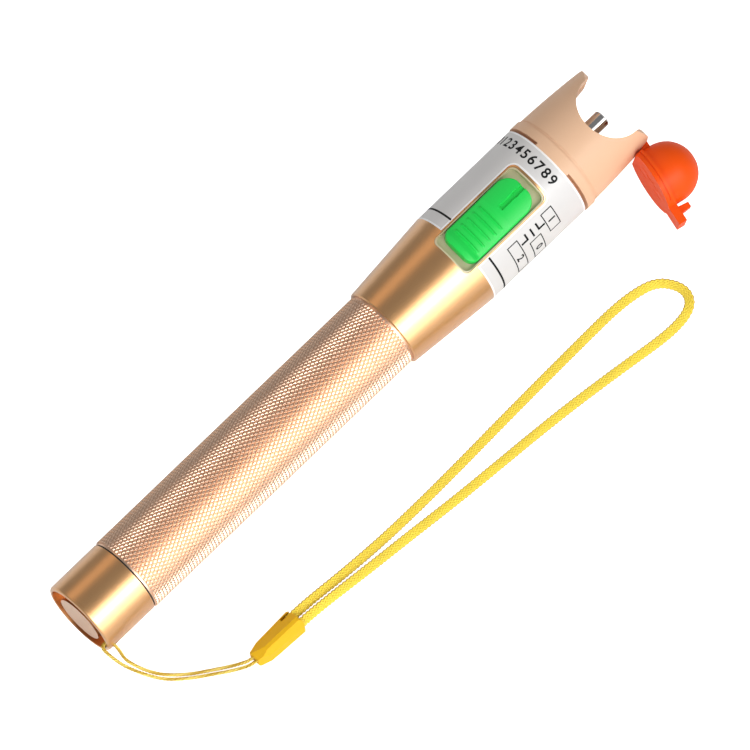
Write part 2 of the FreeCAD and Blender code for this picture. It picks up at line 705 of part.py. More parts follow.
def make_switch_tray():
    """The tray that fills the window: floor, lip, inner flange and the slot for the lever."""
    gap = S["joint_clearance"]
    lip_radius = S["sleeve_radius"] - S["tray_recess"]
    floor_back = S["tray_floor"] - S["tray_floor_thickness"]
    plug = rounded_plate("tray_plug", (gap - HALF_WINDOW, HALF_WINDOW - gap), (-lip_radius, -floor_back),
                         (WINDOW_START + gap, WINDOW_END - gap),
                         S["window_corner_radius"], S["window_corner_radius"])
    curve = rod("tray_curve", lip_radius, S["window_length"], "z", z=WINDOW_START)
    curved_plug = common("tray_curved_plug", [plug, curve])
    wall = gap + S["tray_wall"]
    pocket = rounded_plate("tray_pocket", (wall - HALF_WINDOW, HALF_WINDOW - wall),
                           (-REACH, -S["tray_floor"]),
                           (WINDOW_START + wall, WINDOW_END - wall),
                           S["window_corner_radius"], S["window_corner_radius"])
    half_flange = HALF_WINDOW + S["tray_flange_margin"]
    flange = box("tray_flange", (-half_flange, half_flange),
                 (-floor_back, S["tray_flange_thickness"] - floor_back),
                 (WINDOW_START - S["tray_flange_margin"], WINDOW_END + S["tray_flange_margin"]))
    slot_half = S["lever_width"] / 2 + 2 * S["knob_clearance"]
    slot_reach = S["lever_length"] / 2 + S["knob_travel"] + 2 * S["knob_clearance"]
    slot = box("tray_slot", (-slot_half, slot_half), (-REACH, 0),
               (WINDOW_MIDDLE - slot_reach, WINDOW_MIDDLE + slot_reach))
    whole = fuse("tray_whole", [curved_plug, flange])
    return cut("switch_tray", whole, [pocket, slot])


def make_switch_knob():
    """The sliding knob: arched top, pointer groove, finger hollow and grip ridges."""
    top_radius = S["sleeve_radius"] + S["knob_height"]
    underside = S["tray_floor"] + S["knob_clearance"]
    half_width = S["knob_width"] / 2
    tail = WINDOW_MIDDLE - S["knob_length"] / 2
    head = WINDOW_MIDDLE + S["knob_length"] / 2
    plate = rounded_plate("knob_plate", (-half_width, half_width), (-top_radius, -underside),
                          (tail, head), S["knob_tail_corner"], S["knob_head_corner"])
    curve = rod("knob_curve", top_radius, S["knob_length"], "z", z=tail)
    arched = common("knob_arched", [plate, curve])
    pointer = box("knob_pointer", (-S["pointer_width"] / 2, S["pointer_width"] / 2),
                  (-REACH, S["pointer_depth"] - top_radius),
                  (head - S["pointer_length"], head + 1))
    middle_ridge = tail + S["ridge_pitch"] * (S["ridge_count"] + 1) / 2 + 1.2
    hollow_axis = top_radius - S["hollow_depth"] + S["hollow_radius"]
    hollow = rod("knob_hollow", S["hollow_radius"], 2 * half_width, "x",
                 x=-half_width, y=-hollow_axis, z=middle_ridge)
    hollowed = cut("knob_hollowed", arched, [pointer, hollow])
    ridges = []
    for number in range(int(S["ridge_count"].number)):
        step = S["ridge_pitch"] * (number - (S["ridge_count"].number - 1) / 2)
        centre = middle_ridge + step
        ridges.append(box(f"knob_ridge_{number + 1}", (-S["ridge_length"] / 2, S["ridge_length"] / 2),
                          (S["hollow_depth"] - S["ridge_height"] - top_radius, -underside),
                          (centre - S["ridge_width"] / 2, centre + S["ridge_width"] / 2)))
    ridge_limit = rod("knob_ridge_limit", top_radius - S["hollow_depth"] + S["ridge_height"],
                      S["knob_length"], "z", z=tail)
    curved_ridges = common("knob_curved_ridges", [fuse("knob_ridges", ridges), ridge_limit])
    return fuse("switch_knob", [hollowed, curved_ridges])


def make_switch_lever():
    underside = S["tray_floor"] + S["knob_clearance"]
    half_width = S["lever_width"] / 2
    half_length = S["lever_length"] / 2
    edge = S["lever_width"] / 8
    return rounded_plate("switch_lever", (-half_width, half_width),
                         (-underside, S["lever_reach"] - underside),
                         (WINDOW_MIDDLE - half_length, WINDOW_MIDDLE + half_length), edge, edge)


def make_crown():
    """The moulded crown: skirt with slots, curved body, saddle-cut mouth and two slotted horns."""
    spigot = HEAD_BORE - S["joint_clearance"]
    inside = spigot - S["crown_spigot_wall"]
    skirt_end = SLEEVE_END + S["crown_skirt_length"]
    groove_end = skirt_end + S["crown_groove_length"]
    groove = S["crown_skirt_radius"] - S["crown_groove_depth"]
    port_hole = S["port_radius"] + S["joint_clearance"]
    body = turned("crown_body", [
        (inside, SPIGOT_START),
        (spigot, SPIGOT_START),
        (spigot, SLEEVE_END),
        (S["crown_skirt_radius"], SLEEVE_END),
        (S["crown_skirt_radius"], skirt_end),
        (groove, skirt_end),
        (groove, groove_end),
        (S["crown_base_radius"], groove_end, S["crown_side_curve"]),
        (S["crown_top_radius"], TIP),
        (S["mouth_radius"], TIP),
        (S["mouth_radius"], MOUTH_FLOOR),
        (port_hole, MOUTH_FLOOR),
        (port_hole, FLOOR_UNDERSIDE),
        (inside, FLOOR_UNDERSIDE),
    ])
    saddle_axis = TIP - S["saddle_drop"] + S["saddle_radius"]
    saddle = rod("crown_saddle", S["saddle_radius"], 2 * REACH, "y", y=-REACH, z=saddle_axis)
    above = box("crown_saddle_top", (-S["saddle_radius"], S["saddle_radius"]), (-REACH, REACH),
                (saddle_axis, TIP + 1))
    tools = [saddle, above]
    tools += [horn_rounding(name, side) for name, side in (("right", 1), ("left", -1))]
    tools.append(horn_arch())
    slot_half = S["hinge_slot_width"] / 2
    tools.append(box("crown_hinge_slots", (-REACH, REACH), (-slot_half, slot_half),
                     (TIP - S["hinge_slot_depth"], TIP + 1)))
    pin_reach = S["knuckle_width"] / 2 + S["pin_reach"] + 2 * S["pin_clearance"]
    tools.append(rod("crown_pin_hole", S["pin_radius"] + S["pin_clearance"], 2 * pin_reach, "y",
                     x=PIN_X, y=-pin_reach, z=PIN_Z))
    tools.append(skirt_slots(spigot))
    return cut("crown", body, tools)


def horn_rounding(name, side):
    """What is cut away above the full round of a horn's tip."""
    inner = PIN_X - HORN_ROUNDING - 0.4
    outer = PIN_X + HORN_ROUNDING + 1
    span = (inner, outer) if side > 0 else (-outer, -inner)
    block = box(f"horn_block_{name}", span, (-REACH, REACH), (PIN_Z, TIP + 1))
    round_tip = rod(f"horn_tip_{name}", HORN_ROUNDING, 2 * REACH, "y",
                    x=side * PIN_X, y=-REACH, z=PIN_Z)
    return cut(f"horn_rounding_{name}", block, [round_tip])


def horn_arch():
    """What is cut away above the horns' arch, seen from the side."""
    axis_height = TIP - S["horn_arch_radius"]
    reach = S["crown_skirt_radius"] + 1
    block = box("horn_arch_block", (-reach, reach), (-reach, reach), (axis_height, TIP + 1))
    arch = rod("horn_arch_rod", S["horn_arch_radius"], 2 * reach, "x", x=-reach, z=axis_height)
    return cut("horn_arch", block, [arch])


def skirt_slots(spigot):
    """The slots under the skirt, open all round apart from a tab at the front and the back."""
    reach = S["crown_skirt_radius"] + 1
    ring = turned("skirt_slot_ring", [
        (spigot, SLEEVE_END - 1),
        (reach, SLEEVE_END - 1),
        (reach, SLEEVE_END + S["crown_slot_height"]),
        (spigot, SLEEVE_END + S["crown_slot_height"]),
    ])
    half = S["crown_tab_width"] / 2
    tabs = box("skirt_tabs", (-half, half), (-reach, reach),
               (SLEEVE_END - 2, SLEEVE_END + S["crown_slot_height"] + 1))
    return cut("skirt_slots", ring, [tabs])


def make_port_barrel():
    sleeve_radius = S["ferrule_bore_radius"] + S["ferrule_sleeve_wall"] + S["joint_clearance"]
    light_hole = S["ferrule_bore_radius"] / 2
    sleeve_start = PORT_TIP - S["port_end_wall"] - S["ferrule_sleeve_length"]
    return turned("port_barrel", [
        (light_hole, LASER_END),
        (S["port_flange_radius"], LASER_END),
        (S["port_flange_radius"], FLOOR_UNDERSIDE),
        (S["port_radius"], FLOOR_UNDERSIDE),
        (S["port_radius"], PORT_TIP - S["port_chamfer"]),
        (S["port_radius"] - S["port_chamfer"], PORT_TIP),
        (sleeve_radius, PORT_TIP),
        (sleeve_radius, sleeve_start),
        (light_hole, sleeve_start),
    ])


def make_split_sleeve():
    outer = S["ferrule_bore_radius"] + S["ferrule_sleeve_wall"]
    end = PORT_TIP - S["port_end_wall"]
    start = end - S["ferrule_sleeve_length"]
    body = turned("split_sleeve_body", [
        (S["ferrule_bore_radius"], start),
        (outer, start),
        (outer, end),
        (S["ferrule_bore_radius"], end),
    ])
    half = S["ferrule_sleeve_slit"] / 2
    slit = box("split_sleeve_slit", (0, REACH), (-half, half), (start - 1, end + 1))
    return cut("split_sleeve", body, [slit])


def make_port_nut():
    """A thin hexagon nut on the mouth's floor."""
    body = turned("port_nut_body", [
        (S["port_radius"] + S["joint_clearance"], MOUTH_FLOOR),
        (S["nut_across_flats"] / math.sqrt(3), MOUTH_FLOOR),
        (S["nut_across_flats"] / math.sqrt(3), MOUTH_FLOOR + S["nut_thickness"]),
        (S["port_radius"] + S["joint_clearance"], MOUTH_FLOOR + S["nut_thickness"]),
    ])
    prism = doc.addObject("Part::Prism", "port_nut_hexagon")
    prism.Polygon = 6
    bind(prism, {"Circumradius": S["nut_across_flats"] / math.sqrt(3), "Height": S["nut_thickness"]})
    move_to(prism, z=MOUTH_FLOOR)
    return common("port_nut", [body, prism])


def make_laser_housing():
    """The brass tube that holds the diode, the lens and the lens ring in line."""
    seat = LASER_START + S["diode_flange_thickness"] + 0.2
    lens_seat = LASER_START + S["lens_offset"]
    can_bore = S["diode_can_radius"] + S["joint_clearance"]
    lens_bore = S["laser_radius"] - S["laser_wall"]
    flange_bore = S["diode_flange_radius"] + S["joint_clearance"]
    light_hole = can_bore * 0.6
    return turned("laser_housing", [
        (flange_bore, LASER_START),
        (S["laser_radius"], LASER_START),
        (S["laser_radius"], LASER_END),
        (lens_bore, LASER_END),
        (lens_bore, lens_seat),
        (light_hole, lens_seat),
        (light_hole, seat + S["diode_can_height"] + 0.4),
        (can_bore, seat + S["diode_can_height"] + 0.4),
        (can_bore, seat),
        (flange_bore, seat),
    ])


def make_laser_diode():
    """The laser diode: flange, can and three leads over the board's back face."""
    seat = LASER_START + S["diode_flange_thickness"] + 0.2
    start = seat - S["diode_flange_thickness"]
    base = turned("diode_base", [
        (0, start),
        (S["diode_flange_radius"], start),
        (S["diode_flange_radius"], seat),
        (S["diode_can_radius"], seat),
        (S["diode_can_radius"], seat + S["diode_can_height"]),
        (0, seat + S["diode_can_height"]),
    ])
    lead_y = BOARD_BACK + S["diode_pin_radius"] + S["joint_clearance"]
    leads = []
    for number in range(-1, 2):
        leads.append(rod(f"diode_lead_{number + 2}", S["diode_pin_radius"],
                         S["diode_pin_length"] + S["diode_flange_thickness"] / 2, "z",
                         x=number * S["diode_pin_pitch"], y=lead_y,
                         z=start - S["diode_pin_length"]))
    return fuse("laser_diode", [base] + leads)


def make_focus_lens():
    """A lens with a flat rim and one curved face towards the port."""
    lens_radius = S["laser_radius"] - S["laser_wall"] - S["joint_clearance"]
    face_radius = lens_radius - S["lens_ring_wall"]
    seat = LASER_START + S["lens_offset"]
    rim = seat + S["lens_thickness"]
    curve = (face_radius * face_radius + S["lens_bulge"] * S["lens_bulge"]) / (2 * S["lens_bulge"])
    return turned("focus_lens", [
        (0, seat),
        (lens_radius, seat),
        (lens_radius, rim),
        (face_radius, rim, curve),
        (0, rim + S["lens_bulge"]),
    ])


def make_lens_ring():
    outer = S["laser_radius"] - S["laser_wall"] - S["joint_clearance"]
    start = LASER_START + S["lens_offset"] + S["lens_thickness"]
    return turned("lens_ring", [
        (outer - S["lens_ring_wall"], start),
        (outer, start),
        (outer, start + S["lens_ring_length"]),
        (outer - S["lens_ring_wall"], start + S["lens_ring_length"]),
    ])


def screw_places():
    """The two board screws: offset across the board and height along the pen."""
    margin = 2 * S["screw_head_radius"]
    return [(-S["screw_offset"], BOARD_START + margin), (S["screw_offset"], BOARD_END - margin)]


def make_circuit_board():
    half = S["board_width"] / 2
    plate = box("board_plate", (-half, half), (-S["board_face"], BOARD_BACK),
                (BOARD_START, BOARD_END))
    holes = []
    for number, (x, z) in enumerate(screw_places(), 1):
        holes.append(rod(f"board_hole_{number}", S["screw_shank_radius"] + S["joint_clearance"],
                         2 * REACH, "y", x=x, y=-REACH, z=z))
    return cut("circuit_board", plate, holes)


def make_board_screws():
    """Two screws that hold the board to the chassis bosses, in one node."""
    pieces = []
    for number, (x, z) in enumerate(screw_places(), 1):
        head = rod(f"screw_head_{number}", S["screw_head_radius"], S["screw_head_height"], "y",
                   x=x, y=-S["board_face"] - S["screw_head_height"], z=z)
        shank = rod(f"screw_shank_{number}", S["screw_shank_radius"], S["screw_length"], "y",
                    x=x, y=-S["board_face"], z=z)
        pieces.append(fuse(f"screw_{number}", [head, shank]))
    group = doc.addObject("Part::Compound", "board_screws")
    group.Links = pieces
    return group


def make_chassis():
    """The half-round carrier behind the board, with two bosses and a cradle for the laser."""
    outer = HEAD_BORE - 4 * S["joint_clearance"]
    inner = outer - S["chassis_wall"]
    start = CELLS_END + S["insulator_thickness"]
    end = SPIGOT_START - S["joint_clearance"]
    cradle_start = end - S["cradle_length"]
    laser_bore = S["laser_radius"] + S["joint_clearance"]
    shell = turned("chassis_shell", [
        (0, start),
        (outer, start),
        (outer, end),
        (laser_bore, end),
        (laser_bore, cradle_start),
        (inner, cradle_start),
        (inner, start + S["chassis_end_wall"]),
        (0, start + S["chassis_end_wall"]),
    ])
    front = box("chassis_front", (-REACH, REACH), (-REACH, BOARD_BACK), (start - 1, end + 1))
    half_shell = cut("chassis_half", shell, [front])
    bosses = []
    holes = []
    for number, (x, z) in enumerate(screw_places(), 1):
        boss = rod(f"boss_{number}", S["screw_boss_radius"], inner - BOARD_BACK, "y",
                   x=x, y=BOARD_BACK, z=z)
        bosses.append(boss)
        holes.append(rod(f"boss_hole_{number}", S["screw_shank_radius"] + S["joint_clearance"],
                         S["screw_length"], "y", x=x, y=BOARD_BACK, z=z))
    boss_limit = rod("boss_limit", outer - S["chassis_wall"] / 2, end - start, "z", z=start)
    inside_bosses = common("chassis_bosses", [fuse("boss_pair", bosses), boss_limit])
    whole = fuse("chassis_whole", [half_shell, inside_bosses])
    return cut("chassis", whole, holes)


def make_contact_insulator():
    radius = HEAD_BORE - S["joint_clearance"]
    recess = S["contact_radius"] + S["joint_clearance"]
    end = CELLS_END + S["insulator_thickness"]
    body = turned("insulator_body", [
        (recess, CELLS_END),
        (radius, CELLS_END),
        (radius, end),
        (0, end),
        (0, CELLS_END + S["contact_thickness"]),
        (recess, CELLS_END + S["contact_thickness"]),
    ])
    half = S["contact_tab_width"] / 2 + S["joint_clearance"]
    tab_front = S["board_face"] + S["contact_thickness"] + S["joint_clearance"]
    slot = box("insulator_slot", (-half, half), (-tab_front, S["joint_clearance"] - S["board_face"]),
               (CELLS_END - 1, end + 1))
    return cut("contact_insulator", body, [slot])


def make_contact_plate():
    """The pressed contact: a disc under the front cell's nub and a tab soldered to the board."""
    disc = rod("contact_disc", S["contact_radius"], S["contact_thickness"], "z", z=CELLS_END)
    half = S["contact_tab_width"] / 2
    tab = box("contact_tab", (-half, half),
              (-S["board_face"] - S["contact_thickness"], -S["board_face"]),
              (CELLS_END, CELLS_END + S["contact_tab_length"]))
    return fuse("contact_plate", [disc, tab])


def make_slide_switch():
    """The slide switch on the board, with a slot in its top for the lever."""
    half = S["switch_body_width"] / 2
    top = -S["board_face"] - S["switch_body_height"]
    body = box("switch_case", (-half, half), (top, -S["board_face"]),
               (WINDOW_MIDDLE - S["switch_body_length"] / 2, WINDOW_MIDDLE + S["switch_body_length"] / 2))
    slot_half = S["lever_width"] / 2 + 2 * S["knob_clearance"]
    slot_reach = S["lever_length"] / 2 + S["knob_travel"] + 2 * S["knob_clearance"]
    slot = box("switch_case_slot", (-slot_half, slot_half), (top - 1, top + S["switch_slot_depth"]),
               (WINDOW_MIDDLE - slot_reach, WINDOW_MIDDLE + slot_reach))
    return cut("slide_switch", body, [slot])


def make_driver_chip():
    """The driver chip of the laser, with four leads on each side."""
    lead = S["chip_length"] / 10
    start = BOARD_START + 3.6
    case = box("chip_case", (-S["chip_width"] / 2, S["chip_width"] / 2),
               (-S["board_face"] - S["chip_height"], -S["board_face"] - 0.1),
               (start, start + S["chip_length"]))
    pieces = [case]
    reach = S["chip_width"] / 2 + 1
    for number in range(4):
        low = start + S["chip_length"] * (2 * number + 1) / 8 - lead / 2
        pieces.append(box(f"chip_leads_{number + 1}", (-reach, reach),
                          (-S["board_face"] - 0.2, -S["board_face"]), (low, low + lead)))
    return fuse("driver_chip", pieces)


def make_ground_clip():
    """A bent strip from the board to the metal sleeve."""
    strip = 0.3
    low = (BOARD_START + BOARD_END) / 2
    inner = S["board_width"] / 2 - 1.6
    outer = HEAD_BORE - 0.9
    foot = box("clip_foot", (inner, outer), (-S["board_face"] - strip, -S["board_face"]), (low, low + 3))
    leaf = box("clip_leaf", (outer - strip, outer), (-S["board_face"] - 1.5, -S["board_face"]),
               (low, low + 3))
    return fuse("ground_clip", [foot, leaf])


def make_dust_cap():
    """The flip cap, drawn closed and then swung open about its hinge.

    Its plate lies above the horn tips, its dome hangs into the mouth with a pocket for the port,
    its knuckle and trunnions sit in the right horn, and its catch drops into the left horn's slot.
    """
    inner = TIP + S["lid_gap"]
    outer = inner + S["lid_thickness"]
    plate = rod("lid_plate", S["lid_radius"], S["lid_thickness"], "z", z=inner)
    tab_half = S["lid_tab_width"] / 2
    tab = box("lid_tab", (PIN_X - S["lid_tab_reach"], 0), (-tab_half, tab_half), (inner, outer))
    straight = inner - S["dome_wall_length"]
    dome = turned("lid_dome", [
        (0, straight - S["dome_radius"], S["dome_radius"]),
        (S["dome_radius"], straight),
        (S["dome_radius"], inner + 1),
        (0, inner + 1),
    ])
    catch_half = S["catch_width"] / 2
    catch_x = PIN_X - S["catch_reach"]
    catch = padded("lid_catch", "XZ_Plane", [
        (catch_x - S["catch_length"] / 2, inner + 1),
        (catch_x - S["catch_length"] * 0.32, inner - S["catch_height"]),
        (catch_x + S["catch_length"] * 0.32, inner - S["catch_height"]),
        (catch_x + S["catch_length"] / 2, inner + 1),
    ], -catch_half, 2 * catch_half)
    knuckle_half = S["knuckle_width"] / 2
    knuckle = rod("lid_knuckle", S["knuckle_radius"], 2 * knuckle_half, "y",
                  x=PIN_X, y=-knuckle_half, z=PIN_Z)
    pin_reach = knuckle_half + S["pin_reach"]
    trunnions = rod("lid_trunnions", S["pin_radius"], 2 * pin_reach, "y",
                    x=PIN_X, y=-pin_reach, z=PIN_Z)
    arm = box("lid_arm", (PIN_X - 3.4, PIN_X), (-knuckle_half, knuckle_half),
              (PIN_Z - 0.8, PIN_Z + S["knuckle_radius"]))
    arm_root = box("lid_arm_root", (PIN_X - 3.4, PIN_X - 2.75), (-knuckle_half, knuckle_half),
                   (PIN_Z, inner + 0.5))
    plain = fuse("lid_plain", [plate, tab, dome])
    trimmed = cut("lid_trimmed", plain, [lid_trim(inner, outer)])
    body = fuse("lid_body", [trimmed, catch, knuckle, trunnions, arm, arm_root])
    apex = straight - S["dome_radius"]
    pocket_end = apex + S["port_pocket_depth"]
    pocket = rod("lid_port_pocket", S["port_pocket_radius"], REACH, "z", z=pocket_end - REACH)
    flare = padded("lid_pocket_flare", "XZ_Plane", [
        (0, apex - 1),
        (S["port_pocket_radius"] + S["port_pocket_flare"], apex - 1),
        (S["port_pocket_radius"], pocket_end),
        (0, pocket_end),
    ], -S["port_pocket_radius"], 2 * S["port_pocket_radius"])
    return cut("dust_cap", body, [pocket, flare] + lid_lines(outer))


def lid_trim(inner, outer):
    """A wedge that trims the plate beside the hinge, parallel to the horn once the lid is open."""
    lean = math.radians(S["lid_open_lean"].number)
    side_height = TIP - SLEEVE_END - S["crown_skirt_length"] - S["crown_groove_length"]
    flare = ((S["crown_base_radius"] - S["crown_top_radius"]) / side_height
             + side_height / (2 * S["crown_side_curve"]))
    horn = HORN_ROUNDING + S["lid_stop_gap"] + flare * (HORN_ROUNDING + 0.6)
    near = (horn + (inner - PIN_Z) * (math.sin(lean) + flare)) / math.cos(lean)
    far = (horn + (outer - PIN_Z) * (math.sin(lean) + flare)) / math.cos(lean)
    slope = (far - near) / S["lid_thickness"]
    return padded("lid_trim", "XZ_Plane", [
        (PIN_X - near + slope, inner - 1),
        (PIN_X + 4, inner - 1),
        (PIN_X + 4, outer + 1),
        (PIN_X - far - slope, outer + 1),
    ], -REACH, 2 * REACH)


def lid_lines(outer):
    """Shallow lines on the outer face of the dust cap, and one round its rim."""
    depth = S["lid_line_depth"]
    tools = []
    spans = [(-3.2, -5.5, 3.5), (0.1, 1.6, 4.6), (0.1, -4.6, -1.6)]
    for number, (y, x0, x1) in enumerate(spans, 1):
        tools.append(box(f"lid_line_{number}", (x0, x1), (y - 0.2, y + 0.2), (outer - depth, outer + 1)))
    rim = turned("lid_rim_line", [
        (S["lid_radius"] - depth, outer - 1.2),
        (S["lid_radius"] + 1, outer - 1.2),
        (S["lid_radius"] + 1, outer - 0.95),
        (S["lid_radius"] - depth, outer - 0.95),
    ])
    tab_clear = box("lid_rim_stop", (-REACH, -S["lid_radius"] * 0.8), (-REACH, REACH),
                    (outer - 2, outer + 2))
    tools.append(cut("lid_rim_groove", rim, [tab_clear]))
    return tools


def slid_open(lid):
    """The placement of the dust cap when it has been swung open about its hinge."""
    hinge = Vector(PIN_X.number, 0, PIN_Z.number)
    opening = Rotation(Vector(0, 1, 0), FULL_TURN / 2 + S["lid_open_lean"].number)
    return Placement(Vector(), opening, hinge).multiply(lid.Placement)


def lying_turn(lid):
    """How the pen is turned to lie on its tail cap, its shoulder and the rim of the open lid."""
    rise = S["sleeve_radius"].number - S["tail_cap_radius"].number
    run = SHOULDER.number - S["tail_cap_rounding"].number
    pitch = math.atan2(rise, run)
    lay = Rotation(Vector(0, -1, 0), Vector(0, 0, -1), Vector(1, 0, 0), "XYZ")
    tip_up = Rotation(Vector(0, -1, 0), math.degrees(pitch))
    shoulder_drop = S["sleeve_radius"].number * math.cos(pitch) - SHOULDER.number * math.sin(pitch)
    least, most = 0.0, 40.0
    for _ in range(22):
        roll = (least + most) / 2
        turn = tip_up * lay * Rotation(Vector(0, 0, 1), roll)
        placed = lid.copy()
        placed.Placement = Placement(Vector(), turn).multiply(lid.Placement)
        if placed.optimalBoundingBox(False).ZMin < S["rest_gap"].number - shoulder_drop:
            most = roll
        else:
            least = roll
    print(f"pitch {math.degrees(pitch):.3f} roll {roll:.3f}")
    return turn


def lie_down(pieces, lid):
    """Gives each rigid sub-part its place: the pen lies on its side, its footprint on the origin."""
    lid.Placement = slid_open(lid)
    turn = Placement(Vector(), lying_turn(lid.Shape))
    for piece in pieces:
        piece.Placement = turn.multiply(piece.Placement)
    boxes = [piece.Shape.optimalBoundingBox(False) for piece in pieces]
    middle_x = (min(b.XMin for b in boxes) + max(b.XMax for b in boxes)) / 2
    middle_y = (min(b.YMin for b in boxes) + max(b.YMax for b in boxes)) / 2
    shift = Placement(Vector(-middle_x, -middle_y, -min(b.ZMin for b in boxes)), Rotation())
    for piece in pieces:
        piece.Placement = shift.multiply(piece.Placement)
    return shift.multiply(turn)


def cord_wire(name, points):
    """Straight runs through the corners, joined by tangent arcs."""
    edges = []
    radii = []
    start = points[0]
    for before, corner, after in zip(points, points[1:], points[2:]):
        back = before.sub(corner)
        ahead = after.sub(corner)
        run = 0.45 * min(back.Length, ahead.Length)
        back.normalize()
        ahead.normalize()
        half_turn = (math.pi - back.getAngle(ahead)) / 2
        radius = run / math.tan(half_turn)
        inward = back.add(ahead)
        inward.normalize()
        arc_start = corner.add(back.multiply(run))
        arc_end = corner.add(ahead.multiply(run))
        middle = corner.add(inward.multiply(radius / math.cos(half_turn) - radius))
        edges.append(Part.LineSegment(start, arc_start).toShape())
        edges.append(Part.Arc(arc_start, middle, arc_end).toShape())
        radii.append(radius)
        start = arc_end
    edges.append(Part.LineSegment(start, points[-1]).toShape())
    wire = Part.Wire(edges)
    print(f"{name}: length {wire.Length:.1f}, bends " + " ".join(f"{r:.1f}" for r in radii))
    return wire


def make_cord(label, diameter, route):
    """A cord along its chosen corners: a circle swept along straight runs and arcs."""
    points = [Vector(*corner) for corner in route]
    wire = cord_wire(label, points)
    section = Part.Circle(points[0], points[1].sub(points[0]), diameter.number / 2)
    solid = wire.makePipeShell([Part.Wire(section.toShape())], True, True)
    expected = math.pi * diameter.number ** 2 / 4 * wire.Length
    print(f"{label}: volume {solid.Volume:.2f}, section by length {expected:.2f}")
    cord = doc.addObject("Part::Feature", label)
    cord.Shape = solid
    return cord

def make_adjuster():
    """The moulded cord adjuster: plan, side and end outlines meet in one faceted body."""
    length = S["adjuster_length"]
    height = S["adjuster_height"]
    nose = S["adjuster_nose_length"]
    half_nose = S["adjuster_nose_width"] / 2
    half_neck = S["adjuster_neck_width"] / 2
    half = S["adjuster_width"] / 2
    edge = S["adjuster_edge"]
    ridge = S["adjuster_ridge"]
    plan = padded("adjuster_plan", "XY_Plane", [
        (0, -half_nose),
        (nose, -half_neck),
        (length - edge, -half),
        (length, edge - half),
        (length, half - edge),
        (length - edge, half),
        (nose, half_neck),
        (0, half_nose),
    ], 0, height)
    side = padded("adjuster_side", "XZ_Plane", [
        (0, edge),
        (edge, 0),
        (length, 0),
        (length, height - edge),
        (length - edge, height),
        (nose, height),
        (0, height - 2 * edge),
    ], -half, 2 * half)
    end = padded("adjuster_end", "YZ_Plane", [
        (edge - half, 0),
        (half - edge, 0),
        (half, edge),
        (half, height * 0.45),
        (edge - ridge, height),
        (-edge - ridge, height),
        (-half, height * 0.5),
        (-half, edge),
    ], 0, length)
    body = common("adjuster_body", [plan, side, end])
    string_half = (S["string_spacing"] + S["string_diameter"]) / 2 + S["joint_clearance"]
    string_high = S["string_diameter"] / 2 + S["joint_clearance"]
    strap_half = (S["strap_spacing"] + S["strap_diameter"]) / 2 + S["joint_clearance"]
    strap_high = S["strap_diameter"] / 2 + S["joint_clearance"]
    middle = S["cord_height"]
    string_slot = box("adjuster_string_slot", (-1, S["adjuster_socket"]), (-string_half, string_half),
                      (middle - string_high, middle + string_high))
    strap_slot = box("adjuster_strap_slot", (length - S["adjuster_socket"], length + 1),
                     (-strap_half, strap_half), (middle - strap_high, middle + strap_high))
    return cut("cord_adjuster", body, [string_slot, strap_slot])


def make_all():
    nodes = [make_tail_cap(), make_tail_seal(), make_battery_spring(), make_grip_tube()]
    nodes += [make_cell("battery_rear", S["battery_start"]), make_cell("battery_front", FRONT_CELL)]
    nodes += [make_head_sleeve(), make_label_wrap(), make_switch_tray(), make_switch_knob()]
    nodes += [make_switch_lever(), make_crown(), make_port_barrel(), make_split_sleeve()]
    nodes += [make_port_nut(), make_laser_housing(), make_laser_diode(), make_focus_lens()]
    nodes += [make_lens_ring(), make_circuit_board(), make_board_screws(), make_chassis()]
    nodes += [make_contact_insulator(), make_contact_plate(), make_slide_switch()]
    nodes += [make_driver_chip(), make_ground_clip(), make_dust_cap()]
    return nodes


def report_faults():
    """Stops if an object of the document failed."""
    for thing in doc.Objects:
        if "Invalid" in thing.State or "Error" in thing.State:
            raise RuntimeError(f"{thing.Label} failed: {thing.State}")


def write_parts(pieces):
    """Checks every sub-part and writes it to a file named after its label."""
    os.makedirs("parts", exist_ok=True)
    for piece in pieces:
        shape = piece.Shape
        if shape.isNull() or not shape.isValid():
            raise RuntimeError(f"{piece.Label} has no valid shape")
        shape.exportStep(f"parts/{piece.Label}.step")


nodes = make_all()
doc.recompute()
pen = lie_down(nodes, nodes[-1])
adjuster = make_adjuster()
doc.recompute()
adjuster.Placement = Placement(Vector(*ADJUSTER_PLACE), Rotation())
nodes.append(make_cord("lanyard_string", S["string_diameter"], STRING_ROUTE))
nodes.append(make_cord("wrist_loop", S["strap_diameter"], STRAP_ROUTE))
nodes.append(adjuster)
doc.recompute()
report_faults()
write_parts(nodes)
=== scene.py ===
"""Dresses a visual fault locator: a knurled fibre tester with a flip cap and a wrist loop."""

import json
from math import ceil, copysign, cos, pi, radians, sin, sqrt

import bpy
from bpy.props import FloatProperty, FloatVectorProperty, IntProperty, PointerProperty
from mathutils import Matrix, Vector


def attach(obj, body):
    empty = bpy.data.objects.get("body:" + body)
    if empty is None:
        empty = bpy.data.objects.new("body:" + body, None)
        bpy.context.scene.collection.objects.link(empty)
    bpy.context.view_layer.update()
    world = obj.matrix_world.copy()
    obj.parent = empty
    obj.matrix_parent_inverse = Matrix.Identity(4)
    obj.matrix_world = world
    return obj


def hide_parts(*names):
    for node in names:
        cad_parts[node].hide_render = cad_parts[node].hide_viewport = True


bl_info = {
    "name": "Visual Fault Locator",
    "version": (1, 0, 0),
    "blender": (4, 5, 0),
    "location": "View3D > Sidebar > Locator",
    "description": "Models the cords, the knurl and the finishes of a fibre tester",
    "category": "Object",
}

